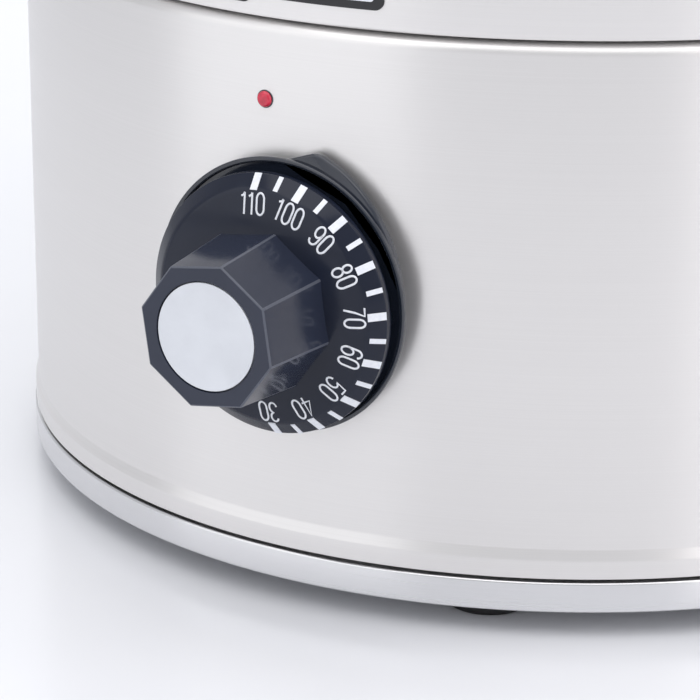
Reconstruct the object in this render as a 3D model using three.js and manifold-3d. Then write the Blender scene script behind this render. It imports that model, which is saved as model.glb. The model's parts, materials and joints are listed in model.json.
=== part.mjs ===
// A round food dehydrator: a stainless drum with the controls, a heater ring on top of it,
// a stack of five drying trays that lift off, and a lid with a turning air vent.
// Millimetres, +Z up. The drum's axis is vertical, and the dial faces -Y.
import * as THREE from "three";
import { mergeVertices } from "three/addons/utils/BufferGeometryUtils.js";
import Module from "manifold-3d";

const wasm = await Module();
wasm.setup();

// ---- driving dimensions: casing ----
const DRUM_RADIUS = 155; // outside of the drum's wall
const SHEET = 1.2; // stainless sheet, everywhere
const FIT_GAP = 0.3; // between pieces that touch
const ROUND_STEPS = 36; // sides of the large round pieces
const SMALL_STEPS = 16; // sides of the small round pieces

const FOOT_HEIGHT = 7;
const FOOT_RADIUS = 12;
const FOOT_CIRCLE = 133; // radius through the feet's centres
const FOOT_AZIMUTH = 19.3; // first foot, degrees from the dial
const FOOT_COUNT = 4;
const FOOT_CHAMFER = 1;
const SCREW_RADIUS = 2; // every screw's shank; their heads are twice as wide
const SCREW_STEPS = 12;

const DRUM_HEIGHT = 150; // from the pan's underside to the seam
const BAND_HEIGHT = 8.4; // the pan's upturned rim
const BAND_STANDOFF = 1.2; // how far the band stands out past the wall
const BAND_CHAMFER = 0.6;
const FLARE_STANDOFF = 0.9; // the same for the flared foot of the wall
const FLARE_START = 14.4; // above the pan's underside
const FLARE_END = 17.2;
const PAN_SPIGOT = 26; // how far the pan reaches up inside the wall
const SHOULDER = 3; // rounding of the drum's top edge
const LEDGE_WIDTH = 12; // of the flanges that meet at the seam
const SEAM_GAP = 0.9; // dark gap between the drum and the heater ring

const RING_INSET = 0.4; // the heater ring, the trays and the lid are this much inside the drum's wall
const HEATER_RING_HEIGHT = 52;
const TRAY_COUNT = 5;
const TRAY_HEIGHT = 34;
const RIM_WIDTH = 3; // rolled top rim of each ring
const RIM_DEPTH = 4;
const NEST_DEPTH = 5; // how far each piece reaches into the one below
const NEST_CLEARANCE = 0.7;
const FLOOR_LEDGE = 9; // flange that carries a tray's floor
const FLOOR_THICKNESS = 1.4;
const MESH_ROWS = [
  [6, 20, 56, 40],
  [12, 78, 118, 19],
]; // windows in each floor and in the grille: count, inner and outer radius, degrees
const GRILLE_DROP = 14; // grille's underside below the heater ring's top

const LID_RISE = 19; // from the lid's rim to its flat top
const LID_FLAT_RADIUS = 66;
const LID_ROUNDING = 4;
const LID_SEAT = 4; // width of the rim's ledge under the lid's edge
const VENT_COUNT = 8;
const VENT_INNER = 26;
const VENT_OUTER = 50;
const VENT_ANGLE = 19; // degrees, each slot
const SHUTTER_RADIUS = 58;
const TAB_WIDTH = 14;
const TAB_HEIGHT = 7;
const KNOB_RADIUS = 19; // of the lid's knob
const KNOB_HEIGHT = 27;
const KNOB_NECK_RADIUS = 7;
const KNOB_COLLAR_RADIUS = 13;
const KNOB_COLLAR_DEPTH = 2;
const KNOB_WAIST_RADIUS = 10;
const KNOB_WAIST_LIFT = 6; // above the collar's foot
const KNOB_ROUNDING = 5;

// ---- driving dimensions: controls ----
const DIAL_DROP = 70.7; // dial's axis below the seam
const SKIRT_RADIUS = 34.4; // rim of the numbered skirt
const SKIRT_STANDOFF = 7.4; // its back edge ahead of the wall
const SKIRT_EDGE = 2.2; // depth of its rim
const BEVEL_WIDTH = 3.7; // sloping band that carries the marks
const BEVEL_RISE = 3.2;
const CONE_RISE = 2.5; // from the bevel to the foot of the grip
const SKIRT_WALL = 2;
const GRIP_BASE_RADIUS = 21.6; // octagon, centre to corner
const GRIP_FACE_RADIUS = 19.5;
const GRIP_HEIGHT = 24.3;
const GRIP_TURN = 14; // degrees from upright to an octagon's corner
const GRIP_HOLLOW_RADIUS = 13;
const GRIP_FACE_WALL = 4;
const BOSS_RADIUS = 6;
const CAP_RADIUS = 14;
const CAP_THICKNESS = 1.2;
const SPINDLE_RADIUS = 3;
const SPINDLE_REACH = 30; // ahead of the wall
const TURNING_CLEARANCE = 0.08;
const BUSH_RADIUS = 4.6;
const BEZEL_LIFT = 0.9; // the bezel's centre above the dial's axis
const BEZEL_RADIUS = 36.4; // outside of its raised rim
const BEZEL_OPENING = 35; // radius inside the rim
const BEZEL_STANDOFF = 4.6; // the rim's face ahead of the wall
const BEZEL_RIM = 1.2; // depth of the rim above its plate
const BEZEL_PLATE = 1.4;
const BEZEL_PLATE_RADIUS = 35.1;
const BEZEL_NECK_RADIUS = 30; // the narrower collar that carries the bezel off the wall
const BEZEL_NECK_WALL = 3;
const BEZEL_CONE = 4; // height of the slope from the neck to the plate
const POINTER_TIP = 15; // degrees clockwise from upright
const POINTER_NOSE = -2; // where the plate starts to rise to the tip
const POINTER_TAIL = 85; // where it has fallen back to its round
const POINTER_REACH = 40.3; // from the bezel's centre
const POINTER_FALL = 1.3; // power of the curve down to the tail
const LAMP_DROP = 20; // below the seam
const LAMP_AZIMUTH = -2.5; // degrees from the dial
const LAMP_RADIUS = 2.1;
const LAMP_STANDOFF = 1.2;
const LAMP_CROWN = 0.5; // height of the slope round the lens's face
const LAMP_BODY_DEPTH = 16;
const THERMOSTAT_SIZE = 34;
const THERMOSTAT_DEPTH = 18;

const SIGN_AZIMUTH = 4.1; // blank three-cornered plate on the heater ring
const SIGN_SIDE = 34;
const SIGN_ROUNDING = 2.4;
const SIGN_LIFT = 6.1; // above the seam
const SIGN_THICKNESS = 0.5;
const PLATE_AZIMUTH = -10.5; // blank rectangular plate beside it
const PLATE_WIDTH = 34;
const PLATE_HEIGHT = 30;
const PLATE_LIFT = 4.2;

// ---- driving dimensions: inside ----
const MOTOR_RADIUS = 30;
const MOTOR_LENGTH = 38;
const MOTOR_DROP = 16; // motor's top below the deck
const SHAFT_RADIUS = 3;
const SHAFT_BOSS_RADIUS = 7;
const FAN_RADIUS = 68;
const FAN_LIFT = 7; // above the deck
const FAN_DEPTH = 20;
const FAN_BLADES = 7;
const FAN_PLATE = 1.6;
const FAN_HUB_RADIUS = 12;
const VANE_ROOT = 20; // radius where each vane starts
const VANE_THICKNESS = 1.6;
const VANE_LEAN = 28; // degrees from the radius
const NUT_HEIGHT = 5;
const SHAFT_TAIL = 7; // shaft above the hub
const BRACKET_LEG_RADIUS = 4;
const BRACKET_LEG_INSET = 5; // legs' centres inside the motor's outside
const BRACKET_LEG_COUNT = 3;
const ELEMENT_RADIUS = 104;
const ELEMENT_LIFT = 20; // above the deck
const ELEMENT_TUBE = 4;
const ELEMENT_OPENING = 22; // degrees between its two ends
const ELEMENT_BEND = 7; // length of the bend at each end
const ELEMENT_TAIL = 14; // its ends below the deck
const BRACKET_AZIMUTH = 60; // of the post under the element
const BRACKET_WIDTH = 10;
const BRACKET_FOOT = 14;
const CUTOUT_AZIMUTH = 120; // of the thermal cutout
const CUTOUT_RADIUS = 9;
const CUTOUT_NECK_RADIUS = 6;
const CUTOUT_HEIGHT = 9;
const BULB_CIRCLE = 88; // distance of the sensor bulb from the drum's axis
const BULB_RADIUS = 2.4;
const BULB_LENGTH = 46;
const BULB_LIFT = 12; // above the deck
const BULB_AZIMUTH = 4;
const CAPILLARY_RADIUS = 0.9;
const INTAKE_INNER = 42;
const INTAKE_OUTER = 74;
const INTAKE_COUNT = 6;
const INTAKE_ANGLE = 32;

// ---- driving dimensions: mains side ----
const INLET_AZIMUTH = 180;
const SWITCH_AZIMUTH = 152;
const MAINS_HEIGHT = 48; // inlet's and switch's centre above the pan's underside
const INLET_FLANGE = [48, 30];
const INLET_CAVITY = [24.5, 16.5];
const INLET_BODY = [30, 22];
const INLET_SCREW_REACH = 20; // from its centre to each screw
const INLET_DEPTH = 24;
const INLET_CAVITY_DEPTH = 16;
const PIN_SPACING = 7;
const PIN_OFFSET = 2;
const PIN_SIZE = [2, 4];
const PIN_SET_BACK = 3; // pins end this far behind the flange's face
const PIN_TAIL = 6; // pins behind the inlet's body
const INLET_SCREW_HEAD = 1.5; // thickness of its screws' heads
const SWITCH_FRAME = [22, 30];
const SWITCH_OPENING = [13, 21];
const SWITCH_DEPTH = 20;
const SWITCH_BACK = 4; // thickness of its floor
const ROCKER_ANGLE = 18; // between its two positions
const ROCKER_PIVOT_DEPTH = 5; // behind the frame's face
const ROCKER_CLEARANCE = 1.5; // at each end of the rocker
const ROCKER_RISE = 4; // its ends above the pivot, and its barrel's radius
const TERMINAL_PLACE = [52, 92]; // of the terminal block, from the drum's axis
const TERMINAL_SIZE = [36, 18];
const TERMINAL_HEIGHT = 20; // its top above the pan's underside
const TERMINAL_PITCH = 8; // from its middle to each wire
const WIRE_RADIUS = 1.5;
const FLANGE_STANDOFF = 3; // both flanges' faces ahead of the wall

// ---- levels and radii worked out from them ----
const panLevel = FOOT_HEIGHT;
const seamLevel = panLevel + DRUM_HEIGHT;
const ringLevel = seamLevel + SEAM_GAP;
const ringTop = ringLevel + HEATER_RING_HEIGHT;
const dialLevel = seamLevel - DIAL_DROP;
const mainsLevel = panLevel + MAINS_HEIGHT;
const lidLevel = ringTop + TRAY_COUNT * TRAY_HEIGHT;
const lidTop = lidLevel + LID_RISE;
const bandRadius = DRUM_RADIUS + BAND_STANDOFF;
const flareRadius = DRUM_RADIUS + FLARE_STANDOFF;
const ledgeRadius = DRUM_RADIUS - LEDGE_WIDTH;
const stackRadius = DRUM_RADIUS - RING_INSET;
const stackInner = stackRadius - SHEET;
const spigotRadius = stackRadius - RIM_WIDTH - NEST_CLEARANCE;
const deckRadius = DRUM_RADIUS - SHEET - FIT_GAP - SHOULDER;
const deckTop = seamLevel - SHEET - FIT_GAP;
const deckBottom = deckTop - SHEET;
const motorTop = deckBottom - MOTOR_DROP;
const skirtFace = SKIRT_STANDOFF + SKIRT_EDGE + BEVEL_RISE + CONE_RISE;
const gripFace = skirtFace + GRIP_HEIGHT;

// ---- materials ----
const metal = (color, roughness) => new THREE.MeshStandardMaterial({ color, roughness, metalness: 1 });
const plain = (color, roughness) => new THREE.MeshStandardMaterial({ color, roughness, metalness: 0 });
const steel = metal(0xd6d5d2, 0.32);
const polished = metal(0xdddddf, 0.18);
const zinc = metal(0xb8b8b4, 0.45);
const copper = metal(0xb87348, 0.4);
const blackPlastic = plain(0x23252d, 0.38);
const rubber = plain(0x141416, 0.8);
const silverCap = plain(0xd9dce4, 0.35);
const redLens = plain(0xb3122c, 0.2);
const whitePlastic = plain(0xe6e4dd, 0.5);
const printedPlate = plain(0xe4e9ee, 0.4);
const redSleeve = plain(0x8c1c1c, 0.6);
const blueSleeve = plain(0x21418c, 0.6);

// ---- geometry helpers ----
const radians = THREE.MathUtils.degToRad;

function solidOf(geometry) {
  const bare = geometry.clone();
  bare.deleteAttribute("normal");
  bare.deleteAttribute("uv");
  const merged = mergeVertices(bare, 1e-4);
  return new wasm.Manifold(
    new wasm.Mesh({
      numProp: 3,
      vertProperties: new Float32Array(merged.attributes.position.array),
      triVerts: new Uint32Array(merged.index.array),
    }),
  );
}

function geometryOf(solid) {
  const { vertProperties, triVerts } = solid.getMesh();
  const geometry = new THREE.BufferGeometry();
  geometry.setAttribute("position", new THREE.BufferAttribute(new Float32Array(vertProperties), 3));
  geometry.setIndex(new THREE.BufferAttribute(new Uint32Array(triVerts), 1));
  return geometry;
}

const cut = (geometry, ...tools) =>
  geometryOf(tools.reduce((body, tool) => body.subtract(solidOf(tool)), solidOf(geometry)));

const join = (geometry, ...others) =>
  geometryOf(others.reduce((body, other) => body.add(solidOf(other)), solidOf(geometry)));

const common = (geometry, other) => geometryOf(solidOf(geometry).intersect(solidOf(other)));

// A turned solid about +Z. The profile is a list of [radius, z] that runs up the outside and
// down the inside, and either closes on itself or runs from the axis to the axis.
function turned(profile, steps = ROUND_STEPS) {
  const points = profile.map(([radius, z]) => new THREE.Vector2(radius, z));
  if (points[0].x > 0) points.push(points[0].clone());
  return new THREE.LatheGeometry(points, steps).rotateX(Math.PI / 2);
}

// Points of an arc in a profile, both ends included, angles in degrees.
function arc(centreRadius, centreZ, radius, from, to, steps = 3) {
  return Array.from({ length: steps + 1 }, (_, i) => {
    const angle = radians(from + ((to - from) * i) / steps);
    return [centreRadius + radius * Math.cos(angle), centreZ + radius * Math.sin(angle)];
  });
}

function disc(radius, bottom, top, steps = SMALL_STEPS) {
  return turned([[0, bottom], [radius, bottom], [radius, top], [0, top]], steps);
}

function washer(inner, outer, bottom, top, steps = SMALL_STEPS) {
  return turned([[inner, bottom], [outer, bottom], [outer, top], [inner, top]], steps);
}

// A block centred in x and y, between two levels.
function block(width, depth, bottom, top) {
  return new THREE.BoxGeometry(width, depth, top - bottom).translate(0, 0, (bottom + top) / 2);
}

// A flat plate from an outline in the XY plane, between two levels.
function plate(shape, bottom, top, curveSegments = 6) {
  const settings = { depth: top - bottom, bevelEnabled: false, curveSegments };
  return new THREE.ExtrudeGeometry(shape, settings).translate(0, 0, bottom);
}

// A sector of a ring, angles in degrees about +Z.
function sector(inner, outer, centreAngle, spread) {
  const from = radians(centreAngle - spread / 2);
  const to = radians(centreAngle + spread / 2);
  const shape = new THREE.Shape();
  shape.absarc(0, 0, outer, from, to, false);
  shape.absarc(0, 0, inner, to, from, true);
  return shape;
}

const repeat = (count, make) => Array.from({ length: count }, (_, i) => make(i));

// A ring of sector-shaped slots, as cutting tools.
function slots(count, inner, outer, angle, bottom, top, turn = 0) {
  return repeat(count, (i) => plate(sector(inner, outer, turn + (360 * i) / count, angle), bottom, top, 1));
}

// A tube of the given radius along a smooth line through the points.
function tube(points, radius, steps) {
  const sides = 6;
  const section = new THREE.Shape(
    repeat(sides, (i) => {
      const angle = (2 * Math.PI * i) / sides;
      return new THREE.Vector2(radius * Math.cos(angle), radius * Math.sin(angle));
    }),
  );
  const extrudePath = new THREE.CatmullRomCurve3(points.map((point) => new THREE.Vector3(...point)));
  return new THREE.ExtrudeGeometry(section, { steps, extrudePath, bevelEnabled: false });
}

// A point on a circle about the drum's axis, azimuth in degrees from the dial, positive to its right.
function around(radius, azimuth, z) {
  const angle = radians(azimuth - 90);
  return [radius * Math.cos(angle), radius * Math.sin(angle), z];
}

// ---- placing ----
const machine = new THREE.Group();

function add(name, geometry, material, parent = machine) {
  const mesh = new THREE.Mesh(geometry, material);
  mesh.name = name;
  parent.add(mesh);
}

// A frame on the drum's wall: x runs to the right seen from outside, y up and z outwards.
function wallMatrix(azimuth, level) {
  const turn = new THREE.Matrix4().makeRotationZ(radians(azimuth));
  const upright = new THREE.Matrix4().makeRotationX(Math.PI / 2);
  return turn.multiply(upright).setPosition(...around(DRUM_RADIUS, azimuth, level));
}

function onWall(azimuth, level) {
  const group = new THREE.Group();
  wallMatrix(azimuth, level).decompose(group.position, group.quaternion, group.scale);
  machine.add(group);
  return group;
}

const fromWall = (geometry, azimuth, level) => geometry.clone().applyMatrix4(wallMatrix(azimuth, level));

// The drum behind a frame on its wall, grown by a standoff, to cut a back to the wall's curve.
function wallBehind(standoff) {
  const reach = 80;
  return disc(DRUM_RADIUS + standoff, -reach, reach, 4 * SMALL_STEPS)
    .rotateX(Math.PI / 2)
    .translate(0, 0, -DRUM_RADIUS);
}

// ---- drum ----
function drumShell() {
  const foot = panLevel + BAND_HEIGHT + SEAM_GAP;
  const inner = DRUM_RADIUS - SHEET;
  const shell = turned([
    [flareRadius, foot],
    [flareRadius, panLevel + FLARE_START],
    [DRUM_RADIUS, panLevel + FLARE_END],
    ...arc(DRUM_RADIUS - SHOULDER, seamLevel - SHOULDER, SHOULDER, 0, 90),
    [ledgeRadius, seamLevel],
    [ledgeRadius, seamLevel - SHEET],
    ...arc(DRUM_RADIUS - SHOULDER, seamLevel - SHOULDER, SHOULDER - SHEET, 90, 0),
    [inner, panLevel + FLARE_END],
    [flareRadius - SHEET, panLevel + FLARE_START],
    [flareRadius - SHEET, foot],
  ]);
  const through = (tool) => tool.translate(0, 0, -2 * SHOULDER);
  const depth = 4 * SHOULDER;
  const bushHole = fromWall(through(disc(BUSH_RADIUS + FIT_GAP, 0, depth)), 0, dialLevel);
  const lampHole = fromWall(
    through(disc(LAMP_RADIUS + FIT_GAP, 0, depth, SCREW_STEPS)), LAMP_AZIMUTH, seamLevel - LAMP_DROP);
  const opening = ([width, height], azimuth) =>
    fromWall(through(block(width + 2 * FIT_GAP, height + 2 * FIT_GAP, 0, depth)), azimuth, mainsLevel);
  const screwHoles = [-1, 1].map((side) =>
    fromWall(
      through(disc(SCREW_RADIUS + FIT_GAP, 0, depth, SCREW_STEPS)).translate(side * INLET_SCREW_REACH, 0, 0),
      INLET_AZIMUTH,
      mainsLevel,
    ),
  );
  return cut(
    shell,
    bushHole,
    lampHole,
    ...screwHoles,
    opening(INLET_BODY, INLET_AZIMUTH),
    opening(switchBody, SWITCH_AZIMUTH),
  );
}

// The pan closes the drum from below. Its rim is the band that shows under the wall, and a
// spigot inside the rim carries the wall.
function bottomPan() {
  const bandTop = panLevel + BAND_HEIGHT;
  const spigot = DRUM_RADIUS - SHEET - FIT_GAP;
  const bandInner = spigot - SHEET;
  const pan = turned([
    [0, panLevel],
    [bandRadius - BAND_CHAMFER, panLevel],
    [bandRadius, panLevel + BAND_CHAMFER],
    [bandRadius, bandTop],
    [spigot, bandTop],
    [spigot, panLevel + PAN_SPIGOT],
    [bandInner, panLevel + PAN_SPIGOT],
    [bandInner, panLevel + SHEET],
    [0, panLevel + SHEET],
  ]);
  const screwHoles = repeat(FOOT_COUNT, (i) => {
    const [x, y] = around(FOOT_CIRCLE, footAzimuth(i), 0);
    return disc(SCREW_RADIUS + FIT_GAP, 0, 2 * panLevel, SCREW_STEPS).translate(x, y, 0);
  });
  const intake = slots(INTAKE_COUNT, INTAKE_INNER, INTAKE_OUTER, INTAKE_ANGLE, 0, 2 * panLevel);
  return cut(pan, ...screwHoles, ...intake);
}

const footAzimuth = (index) => FOOT_AZIMUTH + (360 * index) / FOOT_COUNT;

function foot() {
  const recess = 2 * SCREW_RADIUS + FIT_GAP;
  const screwHole = SCREW_RADIUS + FIT_GAP;
  const seat = FOOT_HEIGHT / 2;
  return turned(
    [
      [FOOT_RADIUS - FOOT_CHAMFER, 0],
      [FOOT_RADIUS, FOOT_CHAMFER],
      [FOOT_RADIUS, FOOT_HEIGHT - FIT_GAP],
      [screwHole, FOOT_HEIGHT - FIT_GAP],
      [screwHole, seat],
      [recess, seat],
      [recess, 0],
    ],
    SMALL_STEPS,
  );
}

// A screw along +Z with its head at the bottom.
function screw(headBottom, headTop, tip) {
  return turned(
    [
      [0, headBottom],
      [2 * SCREW_RADIUS, headBottom],
      [2 * SCREW_RADIUS, headTop],
      [SCREW_RADIUS, headTop],
      [SCREW_RADIUS, tip],
      [0, tip],
    ],
    SCREW_STEPS,
  );
}

function addFeet() {
  for (let i = 0; i < FOOT_COUNT; i++) {
    const place = new THREE.Group();
    place.position.set(...around(FOOT_CIRCLE, footAzimuth(i), 0));
    machine.add(place);
    add(`foot_${i + 1}`, foot(), rubber, place);
    const fixing = screw(FOOT_CHAMFER, FOOT_HEIGHT / 2 - FIT_GAP, FOOT_HEIGHT + 5 * SHEET);
    add(`foot_screw_${i + 1}`, fixing, zinc, place);
  }
}

// ---- deck, motor and fan ----
function deckPlate() {
  const holes = [
    disc(SHAFT_BOSS_RADIUS + 1, deckBottom - 1, deckTop + 1),
    disc(CAPILLARY_RADIUS + 1, deckBottom - 1, deckTop + 1, 8).translate(...around(BULB_CIRCLE, 0, 0)),
    ...[-1, 1].map((side) =>
      disc(ELEMENT_TUBE + 1, deckBottom - 1, deckTop + 1, SCREW_STEPS).translate(
        ...around(ELEMENT_RADIUS, INLET_AZIMUTH + (side * ELEMENT_OPENING) / 2, 0),
      ),
    ),
    ...slots(INTAKE_COUNT, INTAKE_INNER, INTAKE_OUTER, INTAKE_ANGLE, deckBottom - 1, deckTop + 1),
  ];
  return cut(disc(deckRadius, deckBottom, deckTop, ROUND_STEPS), ...holes);
}

function motorBracket() {
  const top = deckBottom - FIT_GAP;
  const base = motorTop + FIT_GAP;
  const floor = washer(SHAFT_BOSS_RADIUS + 1, MOTOR_RADIUS, base, base + 2 * SHEET);
  const legs = repeat(BRACKET_LEG_COUNT, (i) => {
    const azimuth = (360 * (i + 0.25)) / BRACKET_LEG_COUNT;
    const place = around(MOTOR_RADIUS - BRACKET_LEG_INSET, azimuth, 0);
    return disc(BRACKET_LEG_RADIUS, base + SHEET, top, SCREW_STEPS).translate(...place);
  });
  return join(floor, ...legs);
}

function motorCan() {
  const bore = SHAFT_RADIUS + TURNING_CLEARANCE;
  const boss = motorTop + 3 * SHEET;
  return turned(
    [
      [0, motorTop - MOTOR_LENGTH],
      [MOTOR_RADIUS, motorTop - MOTOR_LENGTH],
      [MOTOR_RADIUS, motorTop],
      [SHAFT_BOSS_RADIUS, motorTop],
      [SHAFT_BOSS_RADIUS, boss],
      [bore, boss],
      [bore, motorTop - MOTOR_LENGTH / 2],
      [0, motorTop - MOTOR_LENGTH / 2],
    ],
    SMALL_STEPS,
  );
}

const fanBottom = deckTop + FAN_LIFT;
const fanHubTop = fanBottom + FAN_DEPTH / 2;
const shaftTop = fanHubTop + SHAFT_TAIL;

function motorShaft() {
  return disc(SHAFT_RADIUS, motorTop - MOTOR_LENGTH / 2 + FIT_GAP, shaftTop);
}

// A back plate with leaning vanes around a hub that sits on the shaft.
function impeller() {
  const overlap = FAN_PLATE / 4;
  const vane = (i) =>
    block(FAN_RADIUS - VANE_ROOT, VANE_THICKNESS, fanBottom + overlap, fanBottom + FAN_DEPTH)
      .rotateZ(radians(VANE_LEAN))
      .translate((VANE_ROOT + FAN_RADIUS) / 2 - 2 * FAN_PLATE, 0, 0)
      .rotateZ((2 * Math.PI * i) / FAN_BLADES);
  return cut(
    join(
      disc(FAN_RADIUS, fanBottom, fanBottom + FAN_PLATE, ROUND_STEPS),
      disc(FAN_HUB_RADIUS, fanBottom, fanHubTop),
      ...repeat(FAN_BLADES, vane),
    ),
    disc(SHAFT_RADIUS + TURNING_CLEARANCE, fanBottom - 1, fanHubTop + 1),
  );
}

function impellerNut() {
  const hole = disc(SHAFT_RADIUS + TURNING_CLEARANCE, fanHubTop, fanHubTop + NUT_HEIGHT + 1);
  const hexagon = 6;
  return cut(disc(2 * SHAFT_RADIUS, fanHubTop + FIT_GAP, fanHubTop + NUT_HEIGHT, hexagon), hole);
}

// ---- heater and its sensing ----
const elementLevel = deckTop + ELEMENT_LIFT;
const bulbLevel = deckTop + BULB_LIFT;

// A sheathed element in one turn about the fan. Both ends bend down through the deck.
function heaterElement() {
  const opening = ELEMENT_OPENING / 2;
  const bend = 4; // degrees of turn that each end's bend takes
  const stations = 22;
  const turn = repeat(stations + 1, (i) => {
    const azimuth = INLET_AZIMUTH + opening + bend + ((360 - 2 * (opening + bend)) * i) / stations;
    return around(ELEMENT_RADIUS, azimuth, elementLevel);
  });
  const end = (side, level) => around(ELEMENT_RADIUS, INLET_AZIMUTH + side * opening, level);
  const levels = [deckBottom - ELEMENT_TAIL, deckTop, elementLevel - ELEMENT_BEND];
  const first = levels.map((level) => end(1, level));
  const last = levels.map((level) => end(-1, level)).reverse();
  return tube([...first, ...turn, ...last], ELEMENT_TUBE, 60);
}

// A post on the deck under the element.
function elementBracket() {
  const saddle = elementLevel - ELEMENT_TUBE - FIT_GAP;
  const bottom = deckTop + FIT_GAP;
  const post = block(BRACKET_WIDTH, 2 * SHEET, bottom, saddle);
  const footPlate = block(BRACKET_WIDTH, BRACKET_FOOT, bottom, bottom + SHEET);
  return join(post, footPlate)
    .rotateZ(radians(BRACKET_AZIMUTH))
    .translate(...around(ELEMENT_RADIUS, BRACKET_AZIMUTH, 0));
}

function thermalCutout() {
  const flange = CUTOUT_HEIGHT / 3;
  return turned(
    [
      [0, 0],
      [CUTOUT_RADIUS, 0],
      [CUTOUT_RADIUS, flange],
      [CUTOUT_NECK_RADIUS, flange + 1],
      [CUTOUT_NECK_RADIUS, CUTOUT_HEIGHT],
      [0, CUTOUT_HEIGHT],
    ],
    SMALL_STEPS,
  ).translate(...around(ledgeRadius - CUTOUT_RADIUS - SHOULDER, CUTOUT_AZIMUTH, deckTop + FIT_GAP));
}

function thermostatBody() {
  const front = -SHEET - 2 * FIT_GAP - 1;
  const bushFront = BEZEL_STANDOFF - BEZEL_RIM;
  const bore = disc(SPINDLE_RADIUS + TURNING_CLEARANCE, front - THERMOSTAT_DEPTH / 2, bushFront + 1);
  const box = block(THERMOSTAT_SIZE, THERMOSTAT_SIZE, front - THERMOSTAT_DEPTH, front);
  return cut(join(box, disc(BUSH_RADIUS, front - 1, bushFront)), bore);
}

function capillaryTube() {
  const inside = DRUM_RADIUS - SHEET - 2 - THERMOSTAT_DEPTH / 2;
  const top = dialLevel + THERMOSTAT_SIZE / 2 + FIT_GAP;
  const climb = deckBottom - top; // from the thermostat to the deck
  return tube(
    [
      around(inside, 0, top),
      around(inside, 1, top + climb * 0.27),
      around(inside - 22, BULB_AZIMUTH, top + climb * 0.46),
      around(BULB_CIRCLE + 14, BULB_AZIMUTH / 2, deckBottom - climb * 0.35),
      around(BULB_CIRCLE, 0, deckBottom - climb * 0.16),
      around(BULB_CIRCLE, 0, deckTop + BULB_LIFT / 3),
      around(BULB_CIRCLE, BULB_AZIMUTH / 3, bulbLevel),
      around(BULB_CIRCLE, BULB_AZIMUTH, bulbLevel),
    ],
    CAPILLARY_RADIUS,
    30,
  );
}

function sensorBulb() {
  const [x, y, z] = around(BULB_CIRCLE, BULB_AZIMUTH, bulbLevel);
  return disc(BULB_RADIUS, 0, BULB_LENGTH, SCREW_STEPS).rotateY(Math.PI / 2).translate(x + FIT_GAP, y, z);
}

// ---- dial, its bezel and the pilot lamp ----
function dialKnob() {
  const bevelBack = SKIRT_STANDOFF + SKIRT_EDGE;
  const bevelFront = bevelBack + BEVEL_RISE;
  const skirt = turned([
    [0, SKIRT_STANDOFF],
    [SKIRT_RADIUS, SKIRT_STANDOFF],
    [SKIRT_RADIUS, bevelBack],
    [SKIRT_RADIUS - BEVEL_WIDTH, bevelFront],
    [GRIP_FACE_RADIUS, skirtFace],
    [0, skirtFace],
  ]);
  const overlap = 2;
  const grip = new THREE.CylinderGeometry(
    GRIP_FACE_RADIUS, GRIP_BASE_RADIUS, GRIP_HEIGHT + overlap, 8)
    .rotateX(Math.PI / 2)
    .rotateZ(-radians(GRIP_TURN))
    .translate(0, 0, gripFace - (GRIP_HEIGHT + overlap) / 2);
  const hollow = turned(
    [
      [BOSS_RADIUS, SKIRT_STANDOFF - 1],
      [SKIRT_RADIUS - SKIRT_WALL, SKIRT_STANDOFF - 1],
      [SKIRT_RADIUS - SKIRT_WALL, bevelBack - 1],
      [SKIRT_RADIUS - BEVEL_WIDTH - SKIRT_WALL, bevelFront - SKIRT_WALL],
      [GRIP_HOLLOW_RADIUS, skirtFace - SKIRT_WALL],
      [GRIP_HOLLOW_RADIUS, gripFace - GRIP_FACE_WALL],
      [BOSS_RADIUS, gripFace - GRIP_FACE_WALL],
    ],
    SMALL_STEPS,
  );
  const bore = disc(SPINDLE_RADIUS + TURNING_CLEARANCE, 0, SPINDLE_REACH + FIT_GAP);
  const capRecess = disc(CAP_RADIUS + FIT_GAP, gripFace - CAP_THICKNESS - FIT_GAP, gripFace + 1);
  return cut(join(skirt, grip), hollow, bore, capRecess);
}

// The bezel's plate is round, with a nose that rises steeply to a tip and falls away in a long curve.
function bezelPlateRadius(azimuth) {
  const rise = POINTER_REACH - BEZEL_PLATE_RADIUS;
  if (azimuth < POINTER_NOSE || azimuth > POINTER_TAIL) return BEZEL_PLATE_RADIUS;
  if (azimuth < POINTER_TIP) {
    return BEZEL_PLATE_RADIUS + (rise * (azimuth - POINTER_NOSE)) / (POINTER_TIP - POINTER_NOSE);
  }
  const share = (POINTER_TAIL - azimuth) / (POINTER_TAIL - POINTER_TIP);
  return BEZEL_PLATE_RADIUS + rise * share ** POINTER_FALL;
}

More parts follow.
